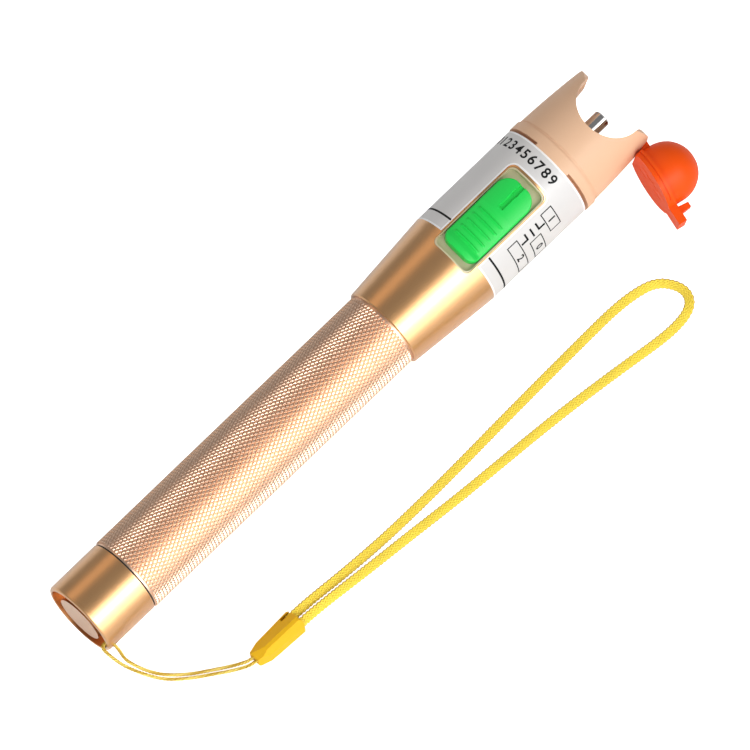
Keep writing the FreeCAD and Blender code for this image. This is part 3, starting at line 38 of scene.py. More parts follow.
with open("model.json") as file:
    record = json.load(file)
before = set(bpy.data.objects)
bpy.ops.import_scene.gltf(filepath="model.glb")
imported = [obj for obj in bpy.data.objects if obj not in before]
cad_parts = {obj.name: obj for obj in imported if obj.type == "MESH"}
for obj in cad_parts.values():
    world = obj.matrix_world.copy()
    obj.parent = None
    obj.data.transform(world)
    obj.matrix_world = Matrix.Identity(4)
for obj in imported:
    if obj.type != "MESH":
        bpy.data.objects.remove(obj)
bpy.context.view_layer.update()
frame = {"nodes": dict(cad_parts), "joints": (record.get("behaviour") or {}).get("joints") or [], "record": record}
NODES = frame["nodes"]
MM = 0.001

# Heights along the pen from its tail end.
PORT_TIP = 164.7 * MM
SLEEVE_START = 98.9 * MM


def pen_matrix():
    """The pen's own frame: tail end at the origin, port along +Z, switch towards -Y."""
    port = next(m for m in frame["record"]["mounts"] if m["name"] == "ferrule_port")
    hinge = next(j for j in frame["joints"] if j["name"] == "dust_cap_hinge")
    along = Vector(port["axis"]).normalized()
    back = -Vector(hinge["axis"]).normalized()
    side = back.cross(along).normalized()
    tail = Vector(port["pos_m"]) - along * PORT_TIP
    turn = Matrix((side, back, along)).transposed().to_4x4()
    return Matrix.Translation(tail) @ turn


PEN = pen_matrix()

# The camera's direction in the pen's frame, in degrees, and the point it aims at, in metres
# along its own right and up directions.
CAMERA_TILT = 12.0
CAMERA_LEAN = 5.3
CAMERA_TURN = 43.83
CAMERA_AIM = (0.0680, 0.05628)

FLOOR_SIZE = 6.0
FLOOR_DROP = 0.05 * MM  # the floor lies this far below the lowest piece

# Lights: degrees from the camera towards the hinge side, width, length, radiance, colour, and
# whether matt surfaces and shiny ones see them.
WHITE, WARM, PAPER = (1.0, 1.0, 1.0), (1.0, 0.68, 0.4), (0.93, 0.93, 0.93)
SKY = 0.3  # strength of the even light from all round
LIGHT_DISTANCE = 1.6
LIGHTS = {
    "key": (44.0, 2.1, 3.0, 2.3, WHITE, True, True),
    "strip": (33.0, 0.5, 2.4, 5.0, WHITE, False, True),
    "left fill": (-62.0, 0.7, 2.4, 0.6, WARM, False, True),
    "soft fill": (-50.0, 2.0, 3.0, 0.5, WHITE, True, False),
}

# The print on the label: degrees round the pen from the switch, and heights in millimetres.
BOXES = [
    ((35.7, 141.9), (61.9, 145.1)),
    ((53.4, 136.0), (84.0, 139.45)),
    ((37.8, 130.7), (82.0, 133.7)),
]
TICKS = [
    [(38.1, 139.7), (46.7, 139.7), (46.7, 141.6)],
    [(38.5, 137.85), (49.7, 137.85)],
    [(38.5, 136.05), (46.7, 136.05), (46.7, 134.1)],
]
BOX_DIGITS = "102"
SCALE_DIGITS = 10
SCALE_STEP = 10.2
SCALE_LAST = 16.5
SCALE_PLACE = 149.2
RING_LINE = 126.0

# Places along the cords' middle lines, in millimetres.
STRING_ROUTE = [
    (-65.4, -24.31, 1.7), (-68.0, -24.31, 1.7), (-70.2, -22.8, 1.1), (-72.6, -21.0, 0.55),
    (-75.4, -19.0, 0.5), (-79.2, -16.3, 0.52), (-82.4, -13.6, 1.0), (-84.7, -11.4, 2.0),
    (-86.4, -9.0, 3.2), (-87.6, -6.7, 4.5), (-88.4, -4.3, 5.7), (-87.8, -2.0, 6.63),
    (-87.8, 1.2, 7.59), (-90.4, 1.2, 7.53), (-90.4, -1.4, 6.74), (-89.8, -4.6, 5.7),
    (-88.7, -7.1, 4.5), (-87.3, -9.5, 3.2), (-85.5, -12.1, 2.0), (-83.2, -14.4, 1.0),
    (-79.8, -17.2, 0.52), (-76.0, -19.9, 0.5), (-73.2, -22.0, 0.55), (-70.7, -23.9, 1.1),
    (-68.2, -25.46, 1.7), (-65.4, -25.46, 1.7),
]
STRAP_ROUTE = [
    (-54.9, -23.53, 1.7), (-51.7, -23.53, 1.7), (-46.8, -23.6, 1.34), (-38.6, -24.3, 1.28),
    (-26.9, -24.9, 1.15), (-15.1, -24.9, 1.05), (-0.9, -24.5, 1.0), (13.3, -23.9, 1.0),
    (27.5, -23.4, 1.0), (41.7, -23.0, 1.0), (51.2, -22.8, 1.05), (57.7, -23.4, 1.15),
    (62.8, -24.9, 1.25), (65.4, -27.9, 1.3), (66.5, -31.6, 1.3), (65.1, -34.7, 1.3),
    (61.9, -36.2, 1.25), (57.1, -36.5, 1.15), (52.0, -36.0, 1.05), (46.6, -35.2, 1.0),
    (38.5, -34.1, 1.0), (26.8, -32.7, 1.0), (15.0, -31.7, 1.0), (3.3, -30.9, 1.0),
    (-8.4, -30.0, 1.0), (-20.1, -28.8, 1.05), (-31.8, -27.8, 1.15), (-40.0, -27.0, 1.28),
    (-47.1, -26.35, 1.34), (-51.9, -26.23, 1.7), (-54.9, -26.23, 1.7),
]

# The strap's edge on this side stands higher than its other edge.
RAISED_SIDE = Vector((0.53, 0.848, 0.0))


def length_mm(name, text, value):
    """A length in millimetres, kept in metres."""
    return FloatProperty(
        name=name, description=text, default=value * MM, min=0.0, unit="LENGTH", precision=5
    )


def colour_property(name, text, value):
    return FloatVectorProperty(
        name=name, description=text, default=value, size=3, min=0.0, max=1.0, subtype="COLOR"
    )


class LocatorCords(bpy.types.PropertyGroup):
    """Sizes of the wrist strap and of the thin cord."""

    strap_width: length_mm("Strap width", "Width of the flat braid", 2.6)
    strap_thickness: length_mm("Strap thickness", "Thickness of the flat braid", 1.1)
    braid_strands: IntProperty(
        name="Braid strands", description="Yarns in the flat braid", default=6, min=3
    )
    braid_period: length_mm("Braid period", "Length in which a yarn crosses and comes back", 6.6)
    yarn_radius: length_mm("Yarn radius", "Radius of a yarn of the braid", 0.36)
    string_diameter: length_mm("Cord diameter", "Thickness of the thin cord", 0.9)
    string_pitch: length_mm("Cord twist", "Length of one twist of the thin cord", 2.4)


class LocatorGrip(bpy.types.PropertyGroup):
    """Sizes of the knurled grip."""

    radius: length_mm("Grip radius", "Radius over the knurl", 10.0)
    start: length_mm("Grip start", "Height of the grip's tail end", 15.0)
    land_length: length_mm("Land length", "Length of the plain lands beside the knurl", 0.5)
    land_depth: length_mm("Land depth", "How far the lands lie below the knurl", 0.3)
    depth: length_mm("Knurl depth", "Depth of the knurl", 0.26)
    pad_length: length_mm("Pad length", "Length of a diamond of the knurl", 1.77)
    pad_top: FloatProperty(name="Pad top", description="Share of a diamond on its top", default=0.5)
    columns: IntProperty(name="Knurl columns", description="Diamonds round the grip", default=64, min=8)
    spigot_radius: length_mm("Spigot radius", "Radius of the front spigot", 9.2)
    spigot_length: length_mm("Spigot length", "Length of the front spigot", 11.5)
    bore_radius: length_mm("Bore radius", "Radius of the bore for the cells", 7.4)
    thread_radius: length_mm("Thread radius", "Radius of the thread in the tail end", 8.8)
    thread_length: length_mm("Thread length", "Length of that thread", 8.05)


class LocatorLabel(bpy.types.PropertyGroup):
    """Sizes and places of the print on the label."""

    radius: length_mm("Label radius", "Outside radius of the label", 12.65)
    start: length_mm("Label start", "Height of the label's tail edge", 122.55)
    end: length_mm("Label end", "Height of the label's head edge", 152.4)
    film: length_mm("Print height", "How far the print stands on the label", 0.02)
    stroke: length_mm("Stroke", "Width of the black lines", 0.5)
    outline: length_mm("Outline", "Width of the boxes' outlines", 0.26)
    digit_height: length_mm("Digit height", "Height of the digits in the boxes", 2.0)
    scale_height: length_mm("Scale digits", "Height of the digits above the window", 2.5)
    weight: length_mm("Digit weight", "How much bolder the digits are than the plain font", 0.07)
    # The film's edges are strips of painted highlight.
    edge_width: length_mm("Edge width", "Width of the film's bare edges", 0.442)
    opening_corner: length_mm("Opening corner", "Corner radius of the label's opening", 2.1)
    opening_width: length_mm("Opening width", "Half the width of the label's opening", 6.2)
    opening_end: length_mm("Opening end", "Height of the opening's head edge", 146.0)


class LocatorKnob(bpy.types.PropertyGroup):
    """Sizes of the switch knob; heights are measured along the pen."""

    radius: length_mm("Top radius", "Radius of the arched top", 13.35)
    underside: length_mm("Underside", "Distance of its underside from the axis", 10.15)
    start: length_mm("Knob start", "Height of the knob's tail end", 121.4)
    length: length_mm("Knob length", "Length of the knob", 21.8)
    width: length_mm("Knob width", "Width of the knob", 10.0)
    head_corner: length_mm("Head corner", "Corner radius at the head end", 3.6)
    tail_corner: length_mm("Tail corner", "Corner radius at the tail end", 2.4)
    edge: length_mm("Edge", "Radius of the rounded upper edge", 0.35)
    groove_width: length_mm("Groove width", "Width of the pointer groove", 1.45)
    groove_length: length_mm("Groove length", "Length of the pointer groove", 7.5)
    groove_depth: length_mm("Groove depth", "Depth of the pointer groove", 0.7)
    rest_start: length_mm("Rest start", "Where the finger rest starts", 1.2)
    rest_end: length_mm("Rest end", "Where the finger rest ends", 13.4)
    rest_slope: length_mm("Rest slope", "Length of the slopes at its ends", 1.9)
    rest_depth: length_mm("Rest depth", "Depth of the finger rest", 0.65)
    ridges: IntProperty(name="Ridges", description="Grip ridges in the finger rest", default=5, min=0)
    ridge_pitch: length_mm("Ridge pitch", "Distance between the ridges", 1.95)
    ridge_width: length_mm("Ridge width", "Width of a ridge", 0.7)
    ridge_length: length_mm("Ridge length", "Length of a ridge", 7.6)
    ridge_height: length_mm("Ridge height", "Height of a ridge", 0.4)


class LocatorFinishes(bpy.types.PropertyGroup):
    """Colours of the finishes."""

    gold: colour_property("Gold metal", "Anodised cap and sleeve", (0.77, 0.41, 0.16))
    grip: colour_property("Grip metal", "Tops of the anodised knurl", (0.82, 0.57, 0.42))
    # Painted shade: the knurl's flanks take this very dark copy of the grip metal, for the shade in its grooves.
    groove: colour_property("Groove painted shade", "Flanks of the anodised knurl", (0.09, 0.035, 0.012))
    crown: colour_property("Crown", "Moulded crown", (0.79, 0.50, 0.32))
    lid: colour_property("Dust cap", "Moulded dust cap", (0.90, 0.085, 0.003))
    knob: colour_property("Switch knob", "Moulded knob", (0.014, 0.66, 0.085))
    tray: colour_property("Switch tray", "Moulded tray", (0.62, 0.56, 0.36))
    label: colour_property("Label", "Wrapped label", (0.68, 0.665, 0.655))
    strap: colour_property("Strap", "Braided yarn", (1.0, 0.78, 0.09))
    # Painted shade: the strap's yarn takes this colour between its strands.
    strap_shade: colour_property("Strap shade", "Yarn between the strands", (0.36, 0.12, 0.0))
    string: colour_property("Cord", "Twisted cord", (0.98, 0.80, 0.20))
    # Painted shade: the cord takes this colour between its strands.
    string_shade: colour_property("Cord shade", "Cord between its strands", (0.50, 0.28, 0.01))
    adjuster: colour_property("Adjuster", "Moulded cord adjuster", (0.88, 0.50, 0.012))


class LocatorStage(bpy.types.PropertyGroup):
    """The camera and the lights."""

    distance: length_mm("Camera distance", "Distance of the camera from the pen", 6000.0)
    view_width: length_mm("View width", "Width seen at the pen", 172.3)


# ---- mesh and object helpers


def settings(name):
    return getattr(bpy.context.scene, name)


def object_mode():
    bpy.ops.object.mode_set(mode="OBJECT")


def deselect_all():
    if bpy.context.object and bpy.context.object.mode != "OBJECT":
        object_mode()
    bpy.ops.object.select_all(action="DESELECT")


def pick(obj):
    deselect_all()
    obj.select_set(True)
    bpy.context.view_layer.objects.active = obj


def edit(obj, action="SELECT"):
    """Opens a mesh in edit mode with all of it selected, or nothing."""
    pick(obj)
    bpy.ops.object.mode_set(mode="EDIT")
    bpy.ops.mesh.select_all(action=action)


def face_outwards(obj):
    """Turns all the faces of a mesh outwards."""
    edit(obj)
    bpy.ops.mesh.normals_make_consistent(inside=False)
    object_mode()


def select_open_edges(obj):
    """Selects the open edges of a mesh and nothing else, and stays in edit mode."""
    edit(obj, "DESELECT")
    bpy.ops.mesh.select_mode(type="EDGE")
    bpy.ops.mesh.select_non_manifold(extend=False)


def link_new(name, data):
    """A new object of some data, in the scene."""
    obj = bpy.data.objects.new(name, data)
    bpy.context.scene.collection.objects.link(obj)
    return obj


def mesh_object(name, vertices, faces):
    mesh = bpy.data.meshes.new(name)
    mesh.from_pydata(vertices, [], faces)
    return link_new(name, mesh)


def settle(obj, matrix=None):
    """Puts a piece's place into its mesh, so that the object sits at the origin."""
    pick(obj)
    if matrix is not None:
        obj.matrix_world = matrix @ obj.matrix_world
    bpy.ops.object.transform_apply(location=True, rotation=True, scale=True)


def finish_piece(obj, name, body, slot_name, *materials):
    """Names a piece, gives it its materials in the order of its faces' numbers, and its body."""
    obj.name = name
    obj.data.name = name
    shares = [face.material_index for face in obj.data.polygons]
    obj.data.materials.clear()
    for material in materials:
        obj.data.materials.append(material)
    obj.data.polygons.foreach_set("material_index", shares)
    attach(obj, body)
    return obj


def apply_modifiers(obj):
    pick(obj)
    for modifier in list(obj.modifiers):
        bpy.ops.object.modifier_apply(modifier=modifier.name)


def route_points(name, route, step):
    """Points along the smooth NURBS line of a cord's route, step apart, in metres."""
    curve = bpy.data.curves.new(name, "CURVE")
    curve.dimensions = "3D"
    spline = curve.splines.new("NURBS")
    spline.points.add(len(route) - 1)
    for point, place in zip(spline.points, route):
        point.co = (place[0] * MM, place[1] * MM, place[2] * MM, 1.0)
    spline.order_u = 3
    spline.use_endpoint_u = True
    spline.resolution_u = 24
    holder = link_new(name, curve)
    bpy.context.view_layer.update()
    mesh = bpy.data.meshes.new_from_object(holder)
    raw = [v.co.copy() for v in mesh.vertices]
    bpy.data.objects.remove(holder)
    bpy.data.meshes.remove(mesh)
    bpy.data.curves.remove(curve)
    return evenly_spaced(raw, step)


def distances_along(points):
    """The distance along a path from its start to each of its points."""
    distances = [0.0]
    for before, after in zip(points, points[1:]):
        distances.append(distances[-1] + (after - before).length)
    return distances


def evenly_spaced(raw, step):
    travelled = distances_along(raw)
    count = max(int(round(travelled[-1] / step)), 2)
    points = []
    at = 0
    for number in range(count + 1):
        want = travelled[-1] * number / count
        while at < len(raw) - 2 and travelled[at + 1] < want:
            at += 1
        run = travelled[at + 1] - travelled[at]
        share = (want - travelled[at]) / run if run else 0.0
        points.append(raw[at].lerp(raw[at + 1], share))
    return points


def path_frames(points):
    """For each point the direction of the path, the level sideways direction and the third one."""
    frames = []
    last_side = None
    for number, point in enumerate(points):
        before = points[max(number - 1, 0)]
        after = points[min(number + 1, len(points) - 1)]
        along = (after - before).normalized()
        if last_side is None:
            side = along.cross(Vector((0, 0, 1))).normalized()
        else:
            side = (last_side - along * last_side.dot(along)).normalized()
        last_side = side
        frames.append((point, along, side, side.cross(along).normalized()))
    return frames


def yarn_mesh(name, lines, radius):
    """Closed tubes of one radius along several lines; the attribute rim is 1 at a tube's sides, where the yarn's
    painted shade falls.
    """
    vertices = []
    faces = []
    rims = []
    for line in lines:
        first = len(vertices)
        for point, _along, side, up in path_frames(line):
            for corner in range(YARN_SIDES):
                angle = 2 * pi * corner / YARN_SIDES
                vertices.append(point + (side * cos(angle) + up * sin(angle)) * radius)
                rims.append(abs(cos(angle)))
        last = len(vertices) - YARN_SIDES
        for ring in range(first, last, YARN_SIDES):
            for corner in range(YARN_SIDES):
                a = ring + corner
                b = ring + (corner + 1) % YARN_SIDES
                faces.append((a, b, b + YARN_SIDES, a + YARN_SIDES))
        faces.append(tuple(first + c for c in reversed(range(YARN_SIDES))))
        faces.append(tuple(last + c for c in range(YARN_SIDES)))
    obj = mesh_object(name, vertices, faces)
    layer = obj.data.attributes.new("rim", "FLOAT", "POINT")
    layer.data.foreach_set("value", rims)
    obj.data.polygons.foreach_set("use_smooth", [True] * len(obj.data.polygons))
    face_outwards(obj)
    return obj


# ---- materials

GRAIN_HEIGHT = 0.05 * MM
# Noise scales of the grain.
FINE, MEDIUM, YARN_GRAIN, METAL_GRAIN = 9000.0, 5000.0, 20000.0, 14000.0
SLOW_SCALE = 120.0  # noise scale of the slow variation
# The yarn's darkening between these shares of its half width is painted shade.
SHADE_START, SHADE_END = 0.45, 0.95  # shares of a yarn's half width between which it darkens

def connect(tree, *wires):
    """Links sockets; a wire is a node, its output, the next node and its input."""
    for source, output, target, socket in wires:
        tree.links.new(source.outputs[output], target.inputs[socket])


def set_inputs(node, values):
    for socket, value in values.items():
        node.inputs[socket].default_value = value


def new_group(name, inputs, outputs):
    """An empty shader node group with named sockets, and its input and output nodes."""
    group = bpy.data.node_groups.new(name, "ShaderNodeTree")
    for label, kind, default in inputs:
        socket = group.interface.new_socket(name=label, in_out="INPUT", socket_type=kind)
        socket.default_value = default
    for label, kind in outputs:
        group.interface.new_socket(name=label, in_out="OUTPUT", socket_type=kind)
    start = group.nodes.new("NodeGroupInput")
    end = group.nodes.new("NodeGroupOutput")
    return group, start, end


def math_node(group, operation, first, second):
    """A math node that takes one socket, and a socket or a number; its result socket."""
    node = group.nodes.new("ShaderNodeMath")
    node.operation = operation
    group.links.new(first, node.inputs[0])
    if isinstance(second, float):
        node.inputs[1].default_value = second
    else:
        group.links.new(second, node.inputs[1])
    return node.outputs[0]


def grain_group():
    """Fine surface grain and slow variation of colour and roughness."""
    if "surface grain" in bpy.data.node_groups:
        return bpy.data.node_groups["surface grain"]
    group, start, end = new_group(
        "surface grain",
        [
            ("Colour", "NodeSocketColor", (0.5, 0.5, 0.5, 1.0)),
            ("Roughness", "NodeSocketFloat", 0.4),
            ("Grain size", "NodeSocketFloat", FINE),
            ("Grain depth", "NodeSocketFloat", 0.1),
            ("Variation", "NodeSocketFloat", 0.1),
        ],
        [("Colour", "NodeSocketColor"), ("Roughness", "NodeSocketFloat"),
         ("Normal", "NodeSocketVector")],
    )
    nodes = group.nodes
    place = nodes.new("ShaderNodeTexCoord")
    fine = nodes.new("ShaderNodeTexNoise")
    fine.inputs["Detail"].default_value = 2.0
    slow = nodes.new("ShaderNodeTexNoise")
    set_inputs(slow, {"Scale": SLOW_SCALE, "Detail": 4.0})
    spread = nodes.new("ShaderNodeMapRange")
    set_inputs(spread, {"To Min": -0.5, "To Max": 0.5})
    amount = math_node(group, "MULTIPLY", spread.outputs["Result"], start.outputs["Variation"])
    tone = nodes.new("ShaderNodeHueSaturation")
    group.links.new(math_node(group, "ADD", amount, 1.0), tone.inputs["Value"])
    rough = math_node(group, "ADD", start.outputs["Roughness"], amount)
    group.links.new(rough, end.inputs["Roughness"])
    bump = nodes.new("ShaderNodeBump")
    bump.inputs["Distance"].default_value = GRAIN_HEIGHT
    connect(
        group,
        (place, "Object", fine, "Vector"),
        (place, "Object", slow, "Vector"),
        (start, "Grain size", fine, "Scale"),
        (slow, "Fac", spread, "Value"),
        (start, "Colour", tone, "Color"),
        (start, "Grain depth", bump, "Strength"),
        (fine, "Fac", bump, "Height"),
        (tone, "Color", end, "Colour"),
        (bump, "Normal", end, "Normal"),
    )
    return group


def surface(
    name, colour, roughness, metallic=0.0, grain=0.1, grain_size=FINE, variation=0.1, **sockets
):
    """A material with surface grain; sockets are set on the Principled shader itself."""
    if name in bpy.data.materials:
        return bpy.data.materials[name]
    material = bpy.data.materials.new(name)
    material.use_nodes = True
    tree = material.node_tree
    shader = tree.nodes["Principled BSDF"]
    shader.inputs["Metallic"].default_value = metallic
    set_inputs(shader, {socket.replace("_", " "): value for socket, value in sockets.items()})
    grained = tree.nodes.new("ShaderNodeGroup")
    grained.node_tree = grain_group()
    set_inputs(grained, {
        "Colour": (*colour, 1.0), "Roughness": roughness, "Grain size": grain_size,
        "Grain depth": grain, "Variation": variation,
    })
    for output, socket in (("Colour", "Base Color"), ("Roughness",) * 2, ("Normal",) * 2):
        connect(tree, (grained, output, shader, socket))
    return material


def moulded(name, colour, roughness, shine=0.5):
    """Smooth plastic; shine is the strength of its reflection."""
    return surface(name, colour, roughness, variation=0.04, grain_size=MEDIUM, Specular_IOR_Level=shine)


def knob_plastic():
    return moulded("knob moulding", settings("locator_finishes").knob, 0.35, 0.3)


def yarn_finish(name, colour, shade):
    """Yarn with painted shade towards its sides, where the strands lie against each other."""
    material = surface(name, colour, 0.7, 0.0, 0.3, YARN_GRAIN, 0.15, Specular_IOR_Level=0.15)
    tree = material.node_tree
    rim = tree.nodes.new("ShaderNodeAttribute")
    rim.attribute_name = "rim"
    share = tree.nodes.new("ShaderNodeMapRange")
    share.interpolation_type = "SMOOTHSTEP"
    set_inputs(share, {"From Min": SHADE_START, "From Max": SHADE_END})
    # Mixes the painted shade colour in towards the yarn's sides.
    mix = tree.nodes.new("ShaderNodeMix")
    mix.data_type = "RGBA"
    set_inputs(mix, {"A": (*colour, 1.0), "B": (*shade, 1.0)})
    connect(
        tree,
        (rim, "Fac", share, "Value"),
        (share, "Result", mix, "Factor"),
        (mix, "Result", tree.nodes["Group"], "Colour"),
    )
    return material


def cad_finishes():
    """Each finish and the CAD nodes that carry it."""
    tone = settings("locator_finishes")
    gold = surface("gold anodised metal", tone.gold, 0.3, 1.0, 0.25, METAL_GRAIN, 0.06,
                   Coat_Weight=1.0, Coat_IOR=1.7, Coat_Roughness=0.25)
    plated = surface("plated steel", (0.62, 0.62, 0.60), 0.25, 1.0, 0.05)
    black = surface("black moulding", (0.02, 0.02, 0.022), 0.5)
    adjuster = surface("adjuster moulding", tone.adjuster, 0.42, 0.0, 0.15, MEDIUM, 0.06,
                       Specular_IOR_Level=0.15)
    lens = surface("lens glass", (0.9, 0.95, 1.0), 0.02, 0.0, 0.0, MEDIUM, 0.0, Transmission_Weight=1.0)
    return [
        (gold, ["tail_cap", "head_sleeve"]),
        (surface("grip metal", tone.grip, 0.3, 1.0, 0.2, METAL_GRAIN, 0.06), ["grip_tube"]),
        (moulded("crown moulding", tone.crown, 0.4, 0.25), ["crown"]),
        (moulded("lid moulding", tone.lid, 0.4, 0.15), ["dust_cap"]),
        (knob_plastic(), ["switch_knob", "switch_lever"]),
        (moulded("tray moulding", tone.tray, 0.4), ["switch_tray"]),
        (surface("label film", tone.label, 0.35, 0.0, 0.05, MEDIUM, 0.02), ["label_wrap"]),
        (adjuster, ["cord_adjuster"]),
        (surface("bright plating", (0.55, 0.54, 0.54), 0.12, 1.0, 0.03), ["port_barrel", "port_nut"]),
        (surface("white ceramic", (0.85, 0.85, 0.82), 0.2), ["split_sleeve"]),
        (surface("turned brass", (0.70, 0.48, 0.20), 0.3, 1.0, 0.1), ["laser_housing", "laser_diode"]),
        (lens, ["focus_lens"]),
        (black, ["lens_ring", "driver_chip", "slide_switch", "chassis", "contact_insulator"]),
        (surface("board lacquer", (0.02, 0.14, 0.06), 0.35), ["circuit_board"]),
        (plated, ["board_screws", "contact_plate", "ground_clip", "battery_spring"]),
        (surface("seal rubber", (0.012, 0.012, 0.012), 0.6), ["tail_seal"]),
        (surface("cell jacket", (0.08, 0.09, 0.11), 0.35, 0.6), ["battery_front", "battery_rear"]),
    ]


class LOCATOR_OT_finishes(bpy.types.Operator):
    """Gives every CAD node its finish"""

    bl_idname = "locator.finishes"
    bl_label = "Finishes"

    def execute(self, context):
        for material, names in cad_finishes():
            for name in names:
                NODES[name].data.materials.clear()
                NODES[name].data.materials.append(material)
        return {"FINISHED"}


# ---- grip

FIRST_CUT = 0.75  # the knurl starts inside its first row, at this share of a diamond
WELD = 0.004 * MM  # corners closer than this become one
SAME_HEIGHT = 0.01 * MM  # edges closer than this to a height lie at it


def knurl_sheet(sizes, length):
    """Diamond pads side by side on a flat sheet: across is the angle in turns, along the height."""
    pitch = 1.0 / sizes.columns
    rows = int(ceil(length / sizes.pad_length)) + 2
    deselect_all()
    bpy.ops.mesh.primitive_plane_add(size=1.0)
    pad = bpy.context.object
    pad.name = "knurl pad"
    mesh = pad.data
    for vertex, corner in zip(mesh.vertices, ((0, -0.5), (0.5, 0), (-0.5, 0), (0, 0.5))):
        vertex.co = (corner[0] * pitch, corner[1] * sizes.pad_length, 0.0)
    edit(pad)
    bpy.ops.mesh.extrude_region_move()
    object_mode()
    top = [v for v in mesh.vertices if v.select]
    for vertex in top:
        vertex.co = (vertex.co.x * sizes.pad_top, vertex.co.y * sizes.pad_top, sizes.depth)
    # The tops take the grip metal, and the flanks take the dark copy that carries painted shade.
    for face in mesh.polygons:
        on_top = all(mesh.vertices[i].co.z > 0 for i in face.vertices)
        face.material_index = 0 if on_top else 1
    drop_floor(pad)
    twin = link_new("knurl twin", pad.data.copy())
    for vertex in twin.data.vertices:
        vertex.co += Vector((pitch / 2, sizes.pad_length / 2, 0))
    pick(twin)
    pad.select_set(True)
    bpy.context.view_layer.objects.active = pad
    bpy.ops.object.join()
    for count, offset in ((sizes.columns, (pitch, 0, 0)), (rows, (0, sizes.pad_length, 0))):
        array = pad.modifiers.new("copies", "ARRAY")
        array.count = count
        array.use_relative_offset = False
        array.use_constant_offset = True
        array.constant_offset_displace = offset
    apply_modifiers(pad)
    return pad


def drop_floor(pad):
    """Deletes the base of a pad, which faces down."""
    face_outwards(pad)
    edit(pad, "DESELECT")
    object_mode()
    for face in pad.data.polygons:
        face.select = not any(pad.data.vertices[i].co.z > 0 for i in face.vertices)
    bpy.ops.object.mode_set(mode="EDIT")
    bpy.ops.mesh.delete(type="FACE")
    object_mode()


def trim(obj, height, keep_above):
    """Cuts a mesh straight across at a height along Y and keeps one side."""
    edit(obj)
    bpy.ops.mesh.bisect(plane_co=(0, height, 0), plane_no=(0, 1, 0),
                        clear_inner=keep_above, clear_outer=not keep_above)
    object_mode()


def close_round(obj, radius):
    """Rolls the flat sheet into a tube round the pen's axis and closes its seam."""
    for vertex in obj.data.vertices:
        angle = 2 * pi * vertex.co.x
        reach = radius + vertex.co.z
        vertex.co = (reach * cos(angle), reach * sin(angle), vertex.co.y)
    edit(obj)
    bpy.ops.mesh.remove_doubles(threshold=WELD)
    object_mode()


def follow_outline(obj, height, outline):
    """Extrudes the open edge at a height through the radii and heights of an outline."""
    mesh = obj.data
    for radius, level in outline:
        select_open_edges(obj)
        object_mode()
        for vertex in mesh.vertices:
            vertex.select = False
        for edge in mesh.edges:
            ends = [mesh.vertices[i] for i in edge.vertices]
            middle = (ends[0].co.z + ends[1].co.z) / 2
            edge.select = edge.select and abs(middle - height) < SAME_HEIGHT
            if edge.select:
                ends[0].select = ends[1].select = True
        bpy.ops.object.mode_set(mode="EDIT")
        bpy.ops.mesh.extrude_edges_move()
        object_mode()
        for vertex in mesh.vertices:
            if vertex.select:
                flat = Vector((vertex.co.x, vertex.co.y, 0)).normalized() * radius
                vertex.co = (flat.x, flat.y, level)
        height = level


class LOCATOR_OT_grip(bpy.types.Operator):
    """Cuts the diamond knurl into the battery tube"""

    bl_idname = "locator.grip"
    bl_label = "Knurled grip"

    def execute(self, context):
        sizes = settings("locator_grip")
        tone = settings("locator_finishes")
        low = sizes.start + sizes.land_length
        high = SLEEVE_START - sizes.land_length
        first_cut = sizes.pad_length * FIRST_CUT
        grip = knurl_sheet(sizes, high - low)
        trim(grip, first_cut, True)
        trim(grip, first_cut + high - low, False)
        for vertex in grip.data.vertices:
            vertex.co.y += low - first_cut
        close_round(grip, sizes.radius - sizes.depth)
        self.add_ends(grip, sizes, low, high)
        settle(grip, PEN)
        tops = surface("knurled metal", tone.grip, 0.36, 1.0, 0.1, METAL_GRAIN, 0.08)
        # The flanks' near-black metal is painted shade in the knurl's grooves.
        flanks = surface("knurl flanks painted shade", tone.groove, 0.45, 1.0, 0.1, METAL_GRAIN, 0.08)
        finish_piece(grip, "knurled_grip", "barrel", "grip_metal", tops, flanks)
        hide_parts("grip_tube")
        return {"FINISHED"}

    def add_ends(self, grip, sizes, low, high):
        """Adds the lands, the thread's bore and the front spigot, and joins them by the bore."""
        land = sizes.radius - sizes.land_depth
        thread_end = sizes.start + sizes.thread_length
        spigot_end = SLEEVE_START + sizes.spigot_length
        follow_outline(grip, low, [
            (land, low), (land, sizes.start), (sizes.thread_radius, sizes.start),
            (sizes.thread_radius, thread_end), (sizes.bore_radius, thread_end),
        ])
        follow_outline(grip, high, [
            (land, high), (land, SLEEVE_START), (sizes.spigot_radius, SLEEVE_START),
            (sizes.spigot_radius, spigot_end), (sizes.bore_radius, spigot_end),
        ])
        select_open_edges(grip)
        bpy.ops.mesh.bridge_edge_loops()
        object_mode()
        face_outwards(grip)


# ---- label print

HEAD_START, HEAD_END = -0.3, 0.699  # the head edge's ends, in turns from the switch
LETTER_SHARE = 0.7  # height of a digit as a share of the font's size
ROLL_STEP = 0.4 * MM  # width of the flat steps of what is rolled onto the label
MITRE_LIMIT = 0.4  # keeps the corner of a sharp turn short
INK = (0.006, 0.006, 0.007)
SINK = 0.004 * MM  # how far the print reaches into the label


